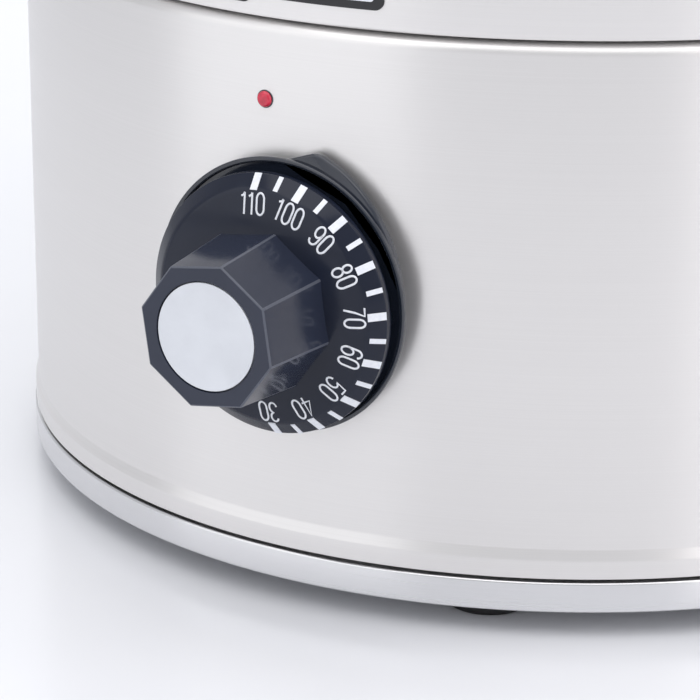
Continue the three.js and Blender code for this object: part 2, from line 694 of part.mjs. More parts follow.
// A dish on a narrow neck: a plate with the pointer, and a raised rim around the dial.
function bezelRing() {
  const plateTop = BEZEL_STANDOFF - BEZEL_RIM;
  const plateBottom = plateTop - BEZEL_PLATE;
  const neckInner = BEZEL_NECK_RADIUS - BEZEL_NECK_WALL;
  const steps = 72;
  const outline = new THREE.Shape(
    repeat(steps, (i) => {
      const azimuth = POINTER_TIP + (360 * i) / steps;
      const radius = bezelPlateRadius(azimuth > 180 ? azimuth - 360 : azimuth);
      return new THREE.Vector2(radius * Math.sin(radians(azimuth)), radius * Math.cos(radians(azimuth)));
    }),
  );
  const dish = turned([
    [neckInner, -2 * SHOULDER],
    [BEZEL_NECK_RADIUS, -2 * SHOULDER],
    [BEZEL_NECK_RADIUS, plateBottom - BEZEL_CONE],
    [BEZEL_PLATE_RADIUS, plateBottom],
    [BEZEL_RADIUS, plateTop],
    [BEZEL_RADIUS, BEZEL_STANDOFF],
    [BEZEL_OPENING, BEZEL_STANDOFF],
    [BEZEL_OPENING, plateTop],
    [neckInner, plateTop],
  ]);
  const nose = cut(
    plate(outline, plateBottom, plateTop),
    disc(BEZEL_OPENING - 1, plateBottom - 1, plateTop + 1, ROUND_STEPS),
  );
  return cut(join(dish, nose).translate(0, BEZEL_LIFT, 0), wallBehind(FIT_GAP));
}

function lampLens() {
  return turned(
    [
      [0, -SHEET - FIT_GAP],
      [LAMP_RADIUS, -SHEET - FIT_GAP],
      [LAMP_RADIUS, LAMP_STANDOFF - LAMP_CROWN],
      [LAMP_RADIUS / 2, LAMP_STANDOFF],
      [0, LAMP_STANDOFF],
    ],
    SCREW_STEPS,
  );
}

function lampBody() {
  return disc(2 * LAMP_RADIUS, -LAMP_BODY_DEPTH, -SHEET - 3 * FIT_GAP, SCREW_STEPS);
}

function addControls() {
  const dial = onWall(0, dialLevel);
  const spindle = disc(SPINDLE_RADIUS, -SHEET - THERMOSTAT_DEPTH / 2, SPINDLE_REACH);
  add("dial_knob", dialKnob(), blackPlastic, dial);
  add("dial_cap", disc(CAP_RADIUS, gripFace - CAP_THICKNESS, gripFace), silverCap, dial);
  add("thermostat_spindle", spindle, zinc, dial);
  add("thermostat_body", thermostatBody(), zinc, dial);
  add("bezel_ring", bezelRing(), blackPlastic, dial);
  const lamp = onWall(LAMP_AZIMUTH, seamLevel - LAMP_DROP);
  add("lamp_lens", lampLens(), redLens, lamp);
  add("lamp_body", lampBody(), whitePlastic, lamp);
}

// ---- mains inlet and switch ----
const switchBody = [SWITCH_OPENING[0] + 2 * SHEET, SWITCH_OPENING[1] + 2 * SHEET];

// A flange against the wall and a body through it. The cavity is open to the outside.
function flangedBody(flange, body, depth, cavity, cavityDepth) {
  const face = block(flange[0], flange[1], -2 * SHOULDER, FLANGE_STANDOFF);
  return cut(
    join(
      cut(face, wallBehind(FIT_GAP)),
      block(body[0], body[1], FLANGE_STANDOFF - depth, FLANGE_STANDOFF - FIT_GAP),
    ),
    block(cavity[0], cavity[1], FLANGE_STANDOFF - cavityDepth, FLANGE_STANDOFF + 1),
  );
}

const pinPlaces = {
  live: [-PIN_SPACING, -PIN_OFFSET],
  neutral: [PIN_SPACING, -PIN_OFFSET],
  earth: [0, PIN_OFFSET],
};
const pinBack = FLANGE_STANDOFF - INLET_DEPTH - PIN_TAIL;

function addInlet() {
  const inlet = onWall(INLET_AZIMUTH, mainsLevel);
  const pinHoles = Object.values(pinPlaces).map(([x, y]) =>
    block(PIN_SIZE[0] + 2 * FIT_GAP, PIN_SIZE[1] + 2 * FIT_GAP, pinBack, 0).translate(x, y, 0),
  );
  const screwHoles = [-1, 1].map((side) =>
    disc(SCREW_RADIUS + FIT_GAP, -3 * SHOULDER, FLANGE_STANDOFF + 1, SCREW_STEPS).translate(
      side * INLET_SCREW_REACH, 0, 0),
  );
  const body = flangedBody(INLET_FLANGE, INLET_BODY, INLET_DEPTH, INLET_CAVITY, INLET_CAVITY_DEPTH);
  add("inlet_body", cut(body, ...pinHoles, ...screwHoles), blackPlastic, inlet);
  for (const [name, [x, y]] of Object.entries(pinPlaces)) {
    const pin = block(PIN_SIZE[0], PIN_SIZE[1], pinBack, FLANGE_STANDOFF - PIN_SET_BACK);
    add(`inlet_pin_${name}`, pin.translate(x, y, 0), zinc, inlet);
  }
  for (const [number, side] of [[1, -1], [2, 1]]) {
    const head = -FLANGE_STANDOFF - FIT_GAP;
    const fixing = screw(head - INLET_SCREW_HEAD, head, 2 * SHEET).rotateY(Math.PI);
    add(`inlet_screw_${number}`, fixing.translate(side * INLET_SCREW_REACH, 0, 0), zinc, inlet);
  }
}

const rockerPivot = FLANGE_STANDOFF - ROCKER_PIVOT_DEPTH;

// The rocker turns about x. Its two faces meet in a shallow vee, and one end stands proud.
function rocker() {
  const half = SWITCH_OPENING[1] / 2 - ROCKER_CLEARANCE;
  const tilt = radians(ROCKER_ANGLE / 2);
  const outline = new THREE.Shape();
  outline.moveTo(-half, ROCKER_RISE);
  outline.lineTo(0, ROCKER_RISE - half * Math.tan(tilt) * 0.6);
  outline.lineTo(half, ROCKER_RISE);
  outline.lineTo(half - 1, 0);
  outline.absarc(0, 0, ROCKER_RISE, 0, -Math.PI, true);
  outline.lineTo(-half + 1, 0);
  outline.closePath();
  const width = SWITCH_OPENING[0] - 3 * FIT_GAP;
  return plate(outline, -width / 2, width / 2, 4)
    .rotateY(Math.PI / 2)
    .rotateX(Math.PI / 2)
    .rotateX(tilt)
    .translate(0, 0, rockerPivot);
}

function addSwitch() {
  const place = onWall(SWITCH_AZIMUTH, mainsLevel);
  const cavityDepth = SWITCH_DEPTH - SWITCH_BACK;
  const frame = flangedBody(SWITCH_FRAME, switchBody, SWITCH_DEPTH, SWITCH_OPENING, cavityDepth);
  add("switch_frame", frame, blackPlastic, place);
  add("switch_rocker", rocker(), blackPlastic, place);
}

// ---- wiring ----
const terminalTop = panLevel + TERMINAL_HEIGHT;

function terminalBlock() {
  return block(...TERMINAL_SIZE, panLevel + SHEET + FIT_GAP, terminalTop).translate(...TERMINAL_PLACE, 0);
}

// A wire from behind a pin to the terminal block, bowed to its own side.
function wireTo(pinX, pinY, side) {
  const startY = DRUM_RADIUS + pinBack - 1;
  const endX = TERMINAL_PLACE[0] - TERMINAL_PITCH * side;
  const endY = TERMINAL_PLACE[1];
  const straight = TERMINAL_PITCH;
  const bow = 4 * WIRE_RADIUS * side;
  return tube(
    [
      [-pinX, startY, mainsLevel + pinY],
      [-pinX, startY - straight, mainsLevel + pinY],
      [(endX - pinX) / 2, (startY + endY) / 2 + bow, mainsLevel],
      [endX, endY, terminalTop + straight],
      [endX, endY, terminalTop + FIT_GAP],
    ],
    WIRE_RADIUS,
    16,
  );
}

// ---- heater ring and the plates on it ----
// A ring wall with a rolled rim at the top, a ledge for the grille and a flange at the foot.
function heaterRing() {
  const ledge = ringTop - GRILLE_DROP - FIT_GAP;
  const ledgeInner = spigotRadius - FLOOR_LEDGE + RIM_WIDTH;
  return turned([
    [ledgeRadius, ringLevel],
    [stackRadius, ringLevel],
    [stackRadius, ringTop],
    [stackRadius - RIM_WIDTH, ringTop],
    [stackRadius - RIM_WIDTH, ringTop - RIM_DEPTH],
    [stackInner, ringTop - RIM_DEPTH],
    [stackInner, ledge],
    [ledgeInner, ledge],
    [ledgeInner, ledge - SHEET],
    [stackInner, ledge - SHEET],
    [stackInner, ringLevel + SHEET],
    [ledgeRadius, ringLevel + SHEET],
  ]);
}

function sealRing() {
  const slack = SEAM_GAP / 5;
  return washer(
    ledgeRadius + 2, DRUM_RADIUS - SHOULDER - 1, seamLevel + slack, ringLevel - slack, ROUND_STEPS);
}

function grille() {
  const bottom = ringTop - GRILLE_DROP;
  const radius = spigotRadius - 1;
  const tools = MESH_ROWS.flatMap(([count, inner, outer, angle]) =>
    slots(count, inner, outer, angle, bottom - 1, bottom + SHEET + 1),
  );
  return cut(disc(radius, bottom, bottom + SHEET, ROUND_STEPS), ...tools);
}

// A thin plate that follows the heater ring's wall.
function curvedPlate(shape, thickness) {
  const standoff = FIT_GAP - RING_INSET;
  const slab = plate(shape, -3 * SHOULDER, 3 * SHOULDER, 3);
  return common(cut(slab, wallBehind(standoff)), wallBehind(standoff + thickness));
}

// Three equal sides with round corners, standing on one side with its foot at y = 0.
function roundedTriangle(side, rounding) {
  const shape = new THREE.Shape();
  const inset = side / 2 - rounding * Math.sqrt(3);
  const height = (side * Math.sqrt(3)) / 2;
  shape.absarc(-inset, rounding, rounding, radians(150), radians(270), false);
  shape.absarc(inset, rounding, rounding, radians(-90), radians(30), false);
  shape.absarc(0, height - 2 * rounding, rounding, radians(30), radians(150), false);
  shape.closePath();
  return shape;
}

function rectangle(width, height) {
  const shape = new THREE.Shape();
  shape.moveTo(-width / 2, 0);
  shape.lineTo(width / 2, 0);
  shape.lineTo(width / 2, height);
  shape.lineTo(-width / 2, height);
  shape.closePath();
  return shape;
}

function addPlates() {
  const sign = onWall(SIGN_AZIMUTH, seamLevel + SIGN_LIFT);
  const side = onWall(PLATE_AZIMUTH, seamLevel + PLATE_LIFT);
  const triangle = roundedTriangle(SIGN_SIDE, SIGN_ROUNDING);
  add("blank_sign", curvedPlate(triangle, SIGN_THICKNESS), printedPlate, sign);
  add("blank_plate", curvedPlate(rectangle(PLATE_WIDTH, PLATE_HEIGHT), SIGN_THICKNESS), blackPlastic, side);
}

// ---- trays ----
function trayRing() {
  const foot = FIT_GAP;
  const ledgeInner = spigotRadius - FLOOR_LEDGE;
  return turned([
    [spigotRadius - SHEET, -NEST_DEPTH],
    [spigotRadius, -NEST_DEPTH],
    [spigotRadius, foot],
    [stackRadius, foot],
    [stackRadius, TRAY_HEIGHT],
    [stackRadius - RIM_WIDTH, TRAY_HEIGHT],
    [stackRadius - RIM_WIDTH, TRAY_HEIGHT - RIM_DEPTH],
    [stackInner, TRAY_HEIGHT - RIM_DEPTH],
    [stackInner, foot + SHEET],
    [ledgeInner, foot + SHEET],
    [ledgeInner, foot],
    [spigotRadius - SHEET, foot],
  ]);
}

function trayFloor() {
  const bottom = SHEET + 2 * FIT_GAP;
  const top = bottom + FLOOR_THICKNESS;
  const radius = stackRadius - RIM_WIDTH - FIT_GAP;
  const windows = MESH_ROWS.flatMap(([count, inner, outer, angle]) =>
    slots(count, inner, outer, angle, bottom - 1, top + 1),
  );
  return cut(disc(radius, bottom, top, ROUND_STEPS), ...windows);
}

function addTrays() {
  for (let i = 0; i < TRAY_COUNT; i++) {
    const tray = new THREE.Group();
    tray.position.z = ringTop + i * TRAY_HEIGHT;
    machine.add(tray);
    add(`tray_ring_${i + 1}`, trayRing(), steel, tray);
    add(`tray_floor_${i + 1}`, trayFloor(), steel, tray);
  }
}

// ---- lid ----
const lidRound = stackRadius - LID_ROUNDING; // radius where the lid's edge turns into its dome
const domeEdge = lidTop - LID_RISE + 2 * LID_ROUNDING;

// The lid's top is a low dome from its rounded edge to the flat centre.
function domePoints(drop) {
  const steps = 5;
  const rise = LID_RISE - 2 * LID_ROUNDING;
  return repeat(steps, (i) => {
    const share = (i + 1) / steps;
    const radius = lidRound + (LID_FLAT_RADIUS - lidRound) * share;
    return [radius, lidTop - rise * (1 - share) ** 2 - drop];
  });
}

// The lid's rim nests in the top tray. A ledge inside it carries the dome.
function lidRim() {
  const foot = lidLevel + FIT_GAP;
  const seat = domeEdge - SHEET - FIT_GAP;
  return turned([
    [spigotRadius - SHEET, lidLevel - NEST_DEPTH],
    [spigotRadius, lidLevel - NEST_DEPTH],
    [spigotRadius, foot],
    [stackRadius, foot],
    ...arc(lidRound, lidLevel + LID_ROUNDING, LID_ROUNDING, 0, 90),
    [lidRound, seat],
    [lidRound - LID_SEAT, seat],
    [lidRound - LID_SEAT, seat - SHEET],
    [spigotRadius - SHEET, seat - SHEET],
  ]);
}

function lidShell() {
  const hole = SCREW_RADIUS + FIT_GAP;
  const shell = turned([
    [lidRound - FIT_GAP, domeEdge - SHEET],
    [lidRound - FIT_GAP, domeEdge],
    ...domePoints(0),
    [hole, lidTop],
    [hole, lidTop - SHEET],
    ...domePoints(SHEET).reverse(),
  ]);
  return cut(shell, ...ventSlots(lidTop - 2 * SHEET, lidTop + SHEET));
}

const ventSlots = (bottom, top) => slots(VENT_COUNT, VENT_INNER, VENT_OUTER, VENT_ANGLE, bottom, top);

// A disc with the lid's own slots. Turned by half a pitch it closes them.
function ventShutter() {
  const bottom = lidTop + FIT_GAP;
  const top = bottom + SHEET;
  const sheet = cut(
    washer(KNOB_NECK_RADIUS + FIT_GAP, SHUTTER_RADIUS, bottom, top, ROUND_STEPS),
    ...ventSlots(bottom - 1, top + 1),
  );
  const tabRadius = SHUTTER_RADIUS - 2 * SHEET;
  const tab = block(SHEET, TAB_WIDTH, bottom, bottom + TAB_HEIGHT).translate(tabRadius, 0, 0);
  return join(sheet, tab.rotateZ(radians(-90)));
}

function lidKnob() {
  const collar = lidTop + SHEET + 2 * FIT_GAP;
  const top = lidTop + KNOB_HEIGHT;
  const bore = SCREW_RADIUS + FIT_GAP;
  const foot = lidTop + FIT_GAP;
  const roundCentre = KNOB_RADIUS - KNOB_ROUNDING;
  return turned(
    [
      [bore, foot],
      [KNOB_NECK_RADIUS, foot],
      [KNOB_NECK_RADIUS, collar],
      [KNOB_COLLAR_RADIUS, collar],
      [KNOB_COLLAR_RADIUS, collar + KNOB_COLLAR_DEPTH],
      [KNOB_WAIST_RADIUS, collar + KNOB_WAIST_LIFT],
      ...arc(roundCentre, top - KNOB_ROUNDING, KNOB_ROUNDING, -40, 90, 4),
      [0, top],
      [0, top - 2 * KNOB_ROUNDING],
      [bore, top - 2 * KNOB_ROUNDING],
    ],
    SMALL_STEPS,
  );
}

function lidKnobScrew() {
  const under = lidTop - SHEET - FIT_GAP;
  return screw(under - SCREW_RADIUS, under, lidTop + KNOB_HEIGHT / 2);
}

// ---- assembly ----
add("drum_shell", drumShell(), steel);
add("bottom_pan", bottomPan(), polished);
addFeet();
add("deck_plate", deckPlate(), zinc);
add("motor_bracket", motorBracket(), zinc);
add("motor_can", motorCan(), zinc);
add("motor_shaft", motorShaft(), polished);
add("impeller", impeller(), zinc);
add("impeller_nut", impellerNut(), zinc);
add("heater_element", heaterElement(), steel);
add("element_bracket", elementBracket(), zinc);
add("thermal_cutout", thermalCutout(), whitePlastic);
add("capillary_tube", capillaryTube(), copper);
add("sensor_bulb", sensorBulb(), copper);
addControls();
addInlet();
addSwitch();
add("terminal_block", terminalBlock(), whitePlastic);
add("wire_live", wireTo(...pinPlaces.live, 1), redSleeve);
add("wire_neutral", wireTo(...pinPlaces.neutral, -1), blueSleeve);
add("seal_ring", sealRing(), rubber);
add("heater_ring", heaterRing(), steel);
add("grille", grille(), polished);
addPlates();
addTrays();
add("lid_rim", lidRim(), steel);
add("lid_shell", lidShell(), steel);
add("vent_shutter", ventShutter(), polished);
add("lid_knob", lidKnob(), blackPlastic);
add("lid_knob_screw", lidKnobScrew(), zinc);

// The frame's origin is under the middle of the whole object, so the machine moves back from its knob.
const whole = new THREE.Box3().setFromObject(machine);
machine.position.y = -(whole.min.y + whole.max.y) / 2;
const dehydrator = new THREE.Group();
dehydrator.add(machine);

export default dehydrator;
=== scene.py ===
import json
import math

import bmesh
import bpy
from mathutils import Matrix, Vector


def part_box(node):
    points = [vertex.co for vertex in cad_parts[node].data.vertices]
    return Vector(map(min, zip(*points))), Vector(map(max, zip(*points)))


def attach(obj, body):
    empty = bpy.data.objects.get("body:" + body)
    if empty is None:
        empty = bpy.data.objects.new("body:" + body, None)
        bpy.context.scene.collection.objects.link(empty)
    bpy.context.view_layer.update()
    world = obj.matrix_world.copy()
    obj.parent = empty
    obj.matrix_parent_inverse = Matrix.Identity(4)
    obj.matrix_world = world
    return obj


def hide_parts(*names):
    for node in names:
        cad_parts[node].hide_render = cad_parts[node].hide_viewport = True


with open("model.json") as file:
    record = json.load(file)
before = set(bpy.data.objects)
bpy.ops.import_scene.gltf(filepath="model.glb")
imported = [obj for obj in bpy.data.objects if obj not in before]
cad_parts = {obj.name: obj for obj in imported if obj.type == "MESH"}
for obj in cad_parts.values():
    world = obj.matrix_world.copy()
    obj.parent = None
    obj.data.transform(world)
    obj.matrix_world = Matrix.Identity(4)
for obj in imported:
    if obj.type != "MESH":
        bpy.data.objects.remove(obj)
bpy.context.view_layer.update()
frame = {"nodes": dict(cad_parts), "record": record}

# ---- sizes, in metres ----
MM = 0.001
DRUM_LOW, DRUM_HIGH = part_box("drum_shell")
RING_LOW, RING_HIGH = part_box("heater_ring")
PAN_LOW, PAN_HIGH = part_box("bottom_pan")
KNOB_LOW, KNOB_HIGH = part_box("dial_knob")
BEZEL_LOW, BEZEL_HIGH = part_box("bezel_ring")
AXIS = Vector(((DRUM_LOW.x + DRUM_HIGH.x) / 2, (DRUM_LOW.y + DRUM_HIGH.y) / 2, 0))
FLARE_RADIUS = (DRUM_HIGH.x - DRUM_LOW.x) / 2
STACK_RADIUS = (RING_HIGH.x - RING_LOW.x) / 2
BAND_RADIUS = (PAN_HIGH.x - PAN_LOW.x) / 2
PAN_LEVEL = PAN_LOW.z
SEAM_LEVEL = DRUM_HIGH.z
RING_LEVEL = RING_LOW.z
RING_TOP = RING_HIGH.z
SEAM_STEP = 0.4 * MM
DRUM_RADIUS = STACK_RADIUS + SEAM_STEP
SHEET = 1.2 * MM
RIM_WIDTH = 3 * MM
RIM_DEPTH = 4 * MM
RIM_ROLL = 1.2 * MM
RIM_FILLET = 0.8 * MM
NEST_DEPTH = 5 * MM
NEST_GAP = 0.3 * MM
SPIGOT_CLEARANCE = 0.7 * MM
SPIGOT_RADIUS = STACK_RADIUS - RIM_WIDTH - SPIGOT_CLEARANCE
SEAM_LEDGE = 12 * MM  # how far the drum's top and the heater ring's foot turn inwards
MERGE_DISTANCE = 1e-6

# Steps round a full turn.
WALL_STEPS = 256
DIAL_STEPS = 192
HOOP_STEPS = 128
KNOB_STEPS = 96
SMALL_STEPS = 64
LAMP_STEPS = 48

# Azimuths round the wall: degrees from the front, to the right seen from there.
INLET_AZIMUTH = 180
SWITCH_AZIMUTH = 152
LAMP_AZIMUTH = -2.5
SIGN_AZIMUTH = 4.1
PLATE_AZIMUTH = -10.5

# The dial's own frame: x to the right seen from outside, y up, z out from the wall's tangent plane.
DIAL_LEVEL = (KNOB_LOW.z + KNOB_HIGH.z) / 2
SKIRT_RADIUS = (KNOB_HIGH.z - KNOB_LOW.z) / 2
GRIP_FACE = (AXIS.y - DRUM_RADIUS) - KNOB_LOW.y

# The bezel's centre is a little above the dial's axis.
BEZEL_RADIUS = (BEZEL_HIGH.x - BEZEL_LOW.x) / 2
BEZEL_LIFT = BEZEL_LOW.z + BEZEL_RADIUS - DIAL_LEVEL
BEZEL_FACE = (AXIS.y - DRUM_RADIUS) - BEZEL_LOW.y

# Camera, placed about the drum's axis: its pan and tilt are from the line to the axis and from level.
CAMERA_DISTANCE = 939 * MM
CAMERA_HEIGHT = PAN_LEVEL + 345 * MM
CAMERA_AZIMUTH = math.radians(26.34)
CAMERA_PAN = -0.0661
CAMERA_TILT = 0.3365
CAMERA_ROLL = 0.0028
CAMERA_LENS = 169.7


def wall_frame(azimuth, level, radius=DRUM_RADIUS):
    """The frame of something on the wall: x to the right seen from outside, y up, z outwards."""
    turn = Matrix.Rotation(math.radians(azimuth), 4, "Z")
    out = Matrix.Translation((0, -radius, level))
    return Matrix.Translation(AXIS) @ turn @ out @ Matrix.Rotation(math.pi / 2, 4, "X")


# ---- shader arithmetic ----
GRAIN_HEIGHT = 0.02 * MM


class Value:
    """A shader socket that can be used in arithmetic: each operator adds a Math node."""

    def __init__(self, finish, socket):
        self.finish = finish
        self.socket = socket

    def math(self, operation, other):
        return self.finish.node("ShaderNodeMath", {"operation": operation}, {0: self, 1: other})

    def __add__(self, other):
        return self.math("ADD", other)

    __radd__ = __add__

    def __mul__(self, other):
        return self.math("MULTIPLY", other)

    __rmul__ = __mul__


class Finish:
    """One procedural material and the nodes that make it."""

    def __init__(self, name, **shader):
        self.material = bpy.data.materials.new(name)
        self.material.use_nodes = True
        self.tree = self.material.node_tree
        self.shader = self.tree.nodes["Principled BSDF"]
        for socket, value in shader.items():
            self.set(socket.replace("_", " ").title().replace("Ior", "IOR"), value)

    def set(self, socket, value):
        """Links a value to one of the shader's sockets, or sets the socket if it is plain."""
        self.feed(self.shader.inputs[socket], value)

    def feed(self, socket, value):
        """Links or sets any node's socket. A colour without an alpha gets one."""
        if isinstance(value, Value):
            self.tree.links.new(value.socket, socket)
        elif isinstance(value, (int, float)) or len(value) == len(socket.default_value):
            socket.default_value = value
        else:
            socket.default_value = (*value, 1)

    def node(self, kind, settings=None, values=None, output=0):
        """Adds a node: its settings are set first, and then its sockets' values or links."""
        made = self.tree.nodes.new(kind)
        for name, setting in (settings or {}).items():
            setattr(made, name, setting)
        for name, value in (values or {}).items():
            self.feed(made.inputs[name], value)
        return Value(self, made.outputs[output])

    def place(self, scale=(1, 1, 1), offset=(0, 0, 0)):
        """Object coordinates about an offset, stretched."""
        point = self.node("ShaderNodeTexCoord", output="Object")
        offset = tuple(-part * factor for part, factor in zip(offset, scale))
        return self.node("ShaderNodeMapping", values={"Vector": point, "Location": offset, "Scale": scale})

    def noise(self, scale, vector=None, detail=3.0, roughness=0.55):
        """Smooth noise, on plain Object coordinates unless a vector is given."""
        vector = vector or self.place()
        values = {"Vector": vector, "Scale": scale, "Detail": detail, "Roughness": roughness}
        return self.node("ShaderNodeTexNoise", values=values)

    def spread(self, value, low, high, start=0.3, end=0.7):
        """Maps a noise value onto a range."""
        values = {0: value, 1: start, 2: end, 3: low, 4: high}
        return self.node("ShaderNodeMapRange", values=values)

    def blend(self, noise, first, second):
        """A colour that a noise value takes from one tint to another."""
        values = {0: self.spread(noise, 0.0, 1.0), 6: first, 7: second}
        return self.node("ShaderNodeMix", {"data_type": "RGBA"}, values, output=2)

    def bump(self, height, strength, distance=GRAIN_HEIGHT):
        values = {"Height": height, "Strength": strength, "Distance": distance}
        self.set("Normal", self.node("ShaderNodeBump", values=values))


# ---- finishes ----
# How often the brushed patterns change in a metre, along x, y and z, and for rings along the radius.
BRUSHED_LINES = (9, 9, 5200)
BRUSHED_BANDS = (5, 5, 60)
RING_DRIFT = (9, 9, 9)
RING_LINES = 2200


def shaded(tint, share):
    return [part * share for part in tint]


def brushed_around(name, tint, roughness, brushing, sheen=1.0):
    """Stainless sheet brushed round the axis: fine level lines that run a few centimetres."""
    finish = Finish(name, metallic=sheen, anisotropic=0.7, anisotropic_rotation=0.25)
    wear = 0.015
    lines = finish.noise(1.0, finish.place(BRUSHED_LINES), detail=2.0)
    bands = finish.noise(1.0, finish.place(BRUSHED_BANDS), detail=2.0)
    finish.set("Base Color", finish.blend(lines, tint, shaded(tint, 0.975)))
    change = finish.spread(lines, -wear, wear) + finish.spread(bands, -wear, wear)
    finish.set("Roughness", change + roughness)
    finish.bump(lines, brushing)
    return finish.material


def brushed_rings(name, tint, roughness, centre):
    """Sheet turned in a lathe: fine rings about the axis."""
    finish = Finish(name, metallic=1.0, anisotropic=0.6, anisotropic_rotation=0.25)
    flat = finish.place((1, 1, 0), centre)
    radius = finish.node("ShaderNodeVectorMath", {"operation": "LENGTH"}, {0: flat}, output="Value")
    drift = finish.place(RING_DRIFT, centre)
    wear = 0.04
    rings = finish.node(
        "ShaderNodeTexNoise",
        {"noise_dimensions": "4D"},
        {"Vector": drift, "W": radius * RING_LINES, "Scale": 1.0, "Detail": 2.0},
    )
    finish.set("Base Color", finish.blend(rings, tint, shaded(tint, 0.93)))
    finish.set("Roughness", finish.spread(rings, roughness - wear, roughness + wear))
    finish.bump(rings, 0.25)
    return finish.material


def rolled_metal(name, tint, roughness):
    """Plain sheet or plating: soft clouding, and a fine grain in its roughness."""
    finish = Finish(name, metallic=1.0)
    clouding = 0.06
    fineness = 0.03
    clouds = finish.noise(40.0)
    grain = finish.noise(1500.0, detail=2.0)
    finish.set("Base Color", finish.blend(clouds, tint, shaded(tint, 0.86)))
    cloudy = finish.spread(clouds, roughness - clouding, roughness + clouding)
    finish.set("Roughness", cloudy + finish.spread(grain, -fineness, fineness))
    finish.bump(grain, 0.15)
    return finish.material


def moulded_plastic(name, tint, roughness, grain_size=0.35 * MM, grain_depth=0.12, coat=0.0, gloss=0.5):
    """Moulded plastic: a faint grain, and a sheen that varies over the surface."""
    finish = Finish(name, coat_weight=coat, coat_roughness=0.08, specular_ior_level=gloss)
    grain = finish.noise(1 / grain_size, detail=2.0)
    handling = finish.noise(60.0, detail=4.0)
    finish.set("Base Color", finish.blend(handling, tint, shaded(tint, 0.88)))
    finish.set("Roughness", finish.spread(handling, roughness - 0.04, roughness + 0.05))
    finish.bump(grain, grain_depth)
    return finish.material


def printed_white():
    """Pad-printed white: nearly even, a little thin in places."""
    finish = Finish("printed_white", roughness=0.4)
    cover = finish.noise(900.0, detail=3.0)
    finish.set("Base Color", finish.blend(cover, (0.86, 0.88, 0.92), (0.74, 0.77, 0.84)))
    finish.bump(cover, 0.1)
    return finish.material


def lamp_red():
    """A glossy red lens that glows faintly."""
    finish = Finish("lamp_red", roughness=0.15, coat_weight=0.6, emission_strength=0.12)
    cells = finish.noise(700.0, detail=2.0)
    colour = finish.blend(cells, (0.62, 0.012, 0.05), (0.40, 0.006, 0.03))
    finish.set("Base Color", colour)
    finish.set("Emission Color", colour)
    finish.bump(cells, 0.2, 0.05 * MM)
    return finish.material


def stone_floor():
    """A pale, smooth table top with faint clouding."""
    finish = Finish("pale_floor", roughness=0.2)
    clouds = finish.noise(3.0, detail=5.0)
    finish.set("Base Color", finish.blend(clouds, (0.83, 0.84, 0.87), (0.80, 0.81, 0.84)))
    return finish.material


WALL_STEEL = brushed_around("brushed_steel", (0.79, 0.775, 0.765), 0.33, 0.14, sheen=0.75)
BAND_STEEL = brushed_around("band_steel", (0.76, 0.76, 0.77), 0.26, 0.06)
LID_STEEL = brushed_rings("turned_steel", (0.60, 0.595, 0.59), 0.34, AXIS)
WIRE_STEEL = rolled_metal("wire_steel", (0.78, 0.78, 0.79), 0.22)
ZINC = rolled_metal("zinc_plate", (0.62, 0.62, 0.60), 0.42)
COPPER = rolled_metal("copper", (0.75, 0.38, 0.22), 0.35)
GRIP_PLASTIC = moulded_plastic("slate_plastic", (0.024, 0.030, 0.052), 0.16, grain_depth=0.06, gloss=0.42)
# A lighter copy of the grip's plastic for its rounded edges: a painted highlight.
GRIP_EDGE_HIGHLIGHT = moulded_plastic("slate_plastic_edge_highlight", (0.095, 0.105, 0.135), 0.3, gloss=0.42)
SKIRT_PLASTIC = moulded_plastic(
    "dark_slate_plastic", (0.011, 0.015, 0.030), 0.15, grain_depth=0.04, gloss=0.3)
BEZEL_PLASTIC = moulded_plastic(
    "gloss_slate_plastic", (0.016, 0.021, 0.034), 0.14, grain_depth=0.04, coat=0.5)
BLACK_PLASTIC = moulded_plastic("black_plastic", (0.018, 0.018, 0.021), 0.38)
WHITE_PLASTIC = moulded_plastic("white_plastic", (0.78, 0.77, 0.73), 0.45)
RUBBER = moulded_plastic("rubber", (0.012, 0.012, 0.013), 0.62, grain_size=0.6 * MM, grain_depth=0.4)
CAP_SILVER = moulded_plastic("cap_silver", (0.73, 0.755, 0.80), 0.38, grain_depth=0.03)
RED_SLEEVE = moulded_plastic("red_sleeve", (0.30, 0.012, 0.012), 0.5)
BLUE_SLEEVE = moulded_plastic("blue_sleeve", (0.015, 0.05, 0.26), 0.5)
WHITE_PRINT = printed_white()
LAMP_RED = lamp_red()


# ---- mesh helpers ----
def edges_among(mesh, verts):
    return [edge for edge in mesh.edges if all(vert in verts for vert in edge.verts)]


def thicken(mesh, height):
    """Gives a flat face a thickness, upwards."""
    top = bmesh.ops.extrude_face_region(mesh, geom=mesh.faces[:])["geom"]
    raised = [item for item in top if isinstance(item, bmesh.types.BMVert)]
    bmesh.ops.translate(mesh, verts=raised, vec=(0, 0, height))
    bmesh.ops.recalc_face_normals(mesh, faces=mesh.faces)


def rounded(points, steps=6):
    """An outline whose corners (a, b, radius) become arcs. A corner (a, b) stays sharp."""
    outline = []
    for index, point in enumerate(points):
        here = Vector(point[:2])
        if len(point) == 2:
            outline.append(here)
            continue
        before = (Vector(points[index - 1][:2]) - here).normalized()
        after = (Vector(points[(index + 1) % len(points)][:2]) - here).normalized()
        half = before.angle(after) / 2
        centre = here + (before + after).normalized() * point[2] / math.sin(half)
        reach = point[2] / math.tan(half)
        first = here + before * reach - centre
        sweep = first.angle_signed(here + after * reach - centre)
        for step in range(steps + 1):
            outline.append(centre + Matrix.Rotation(-sweep * step / steps, 2) @ first)
    return outline


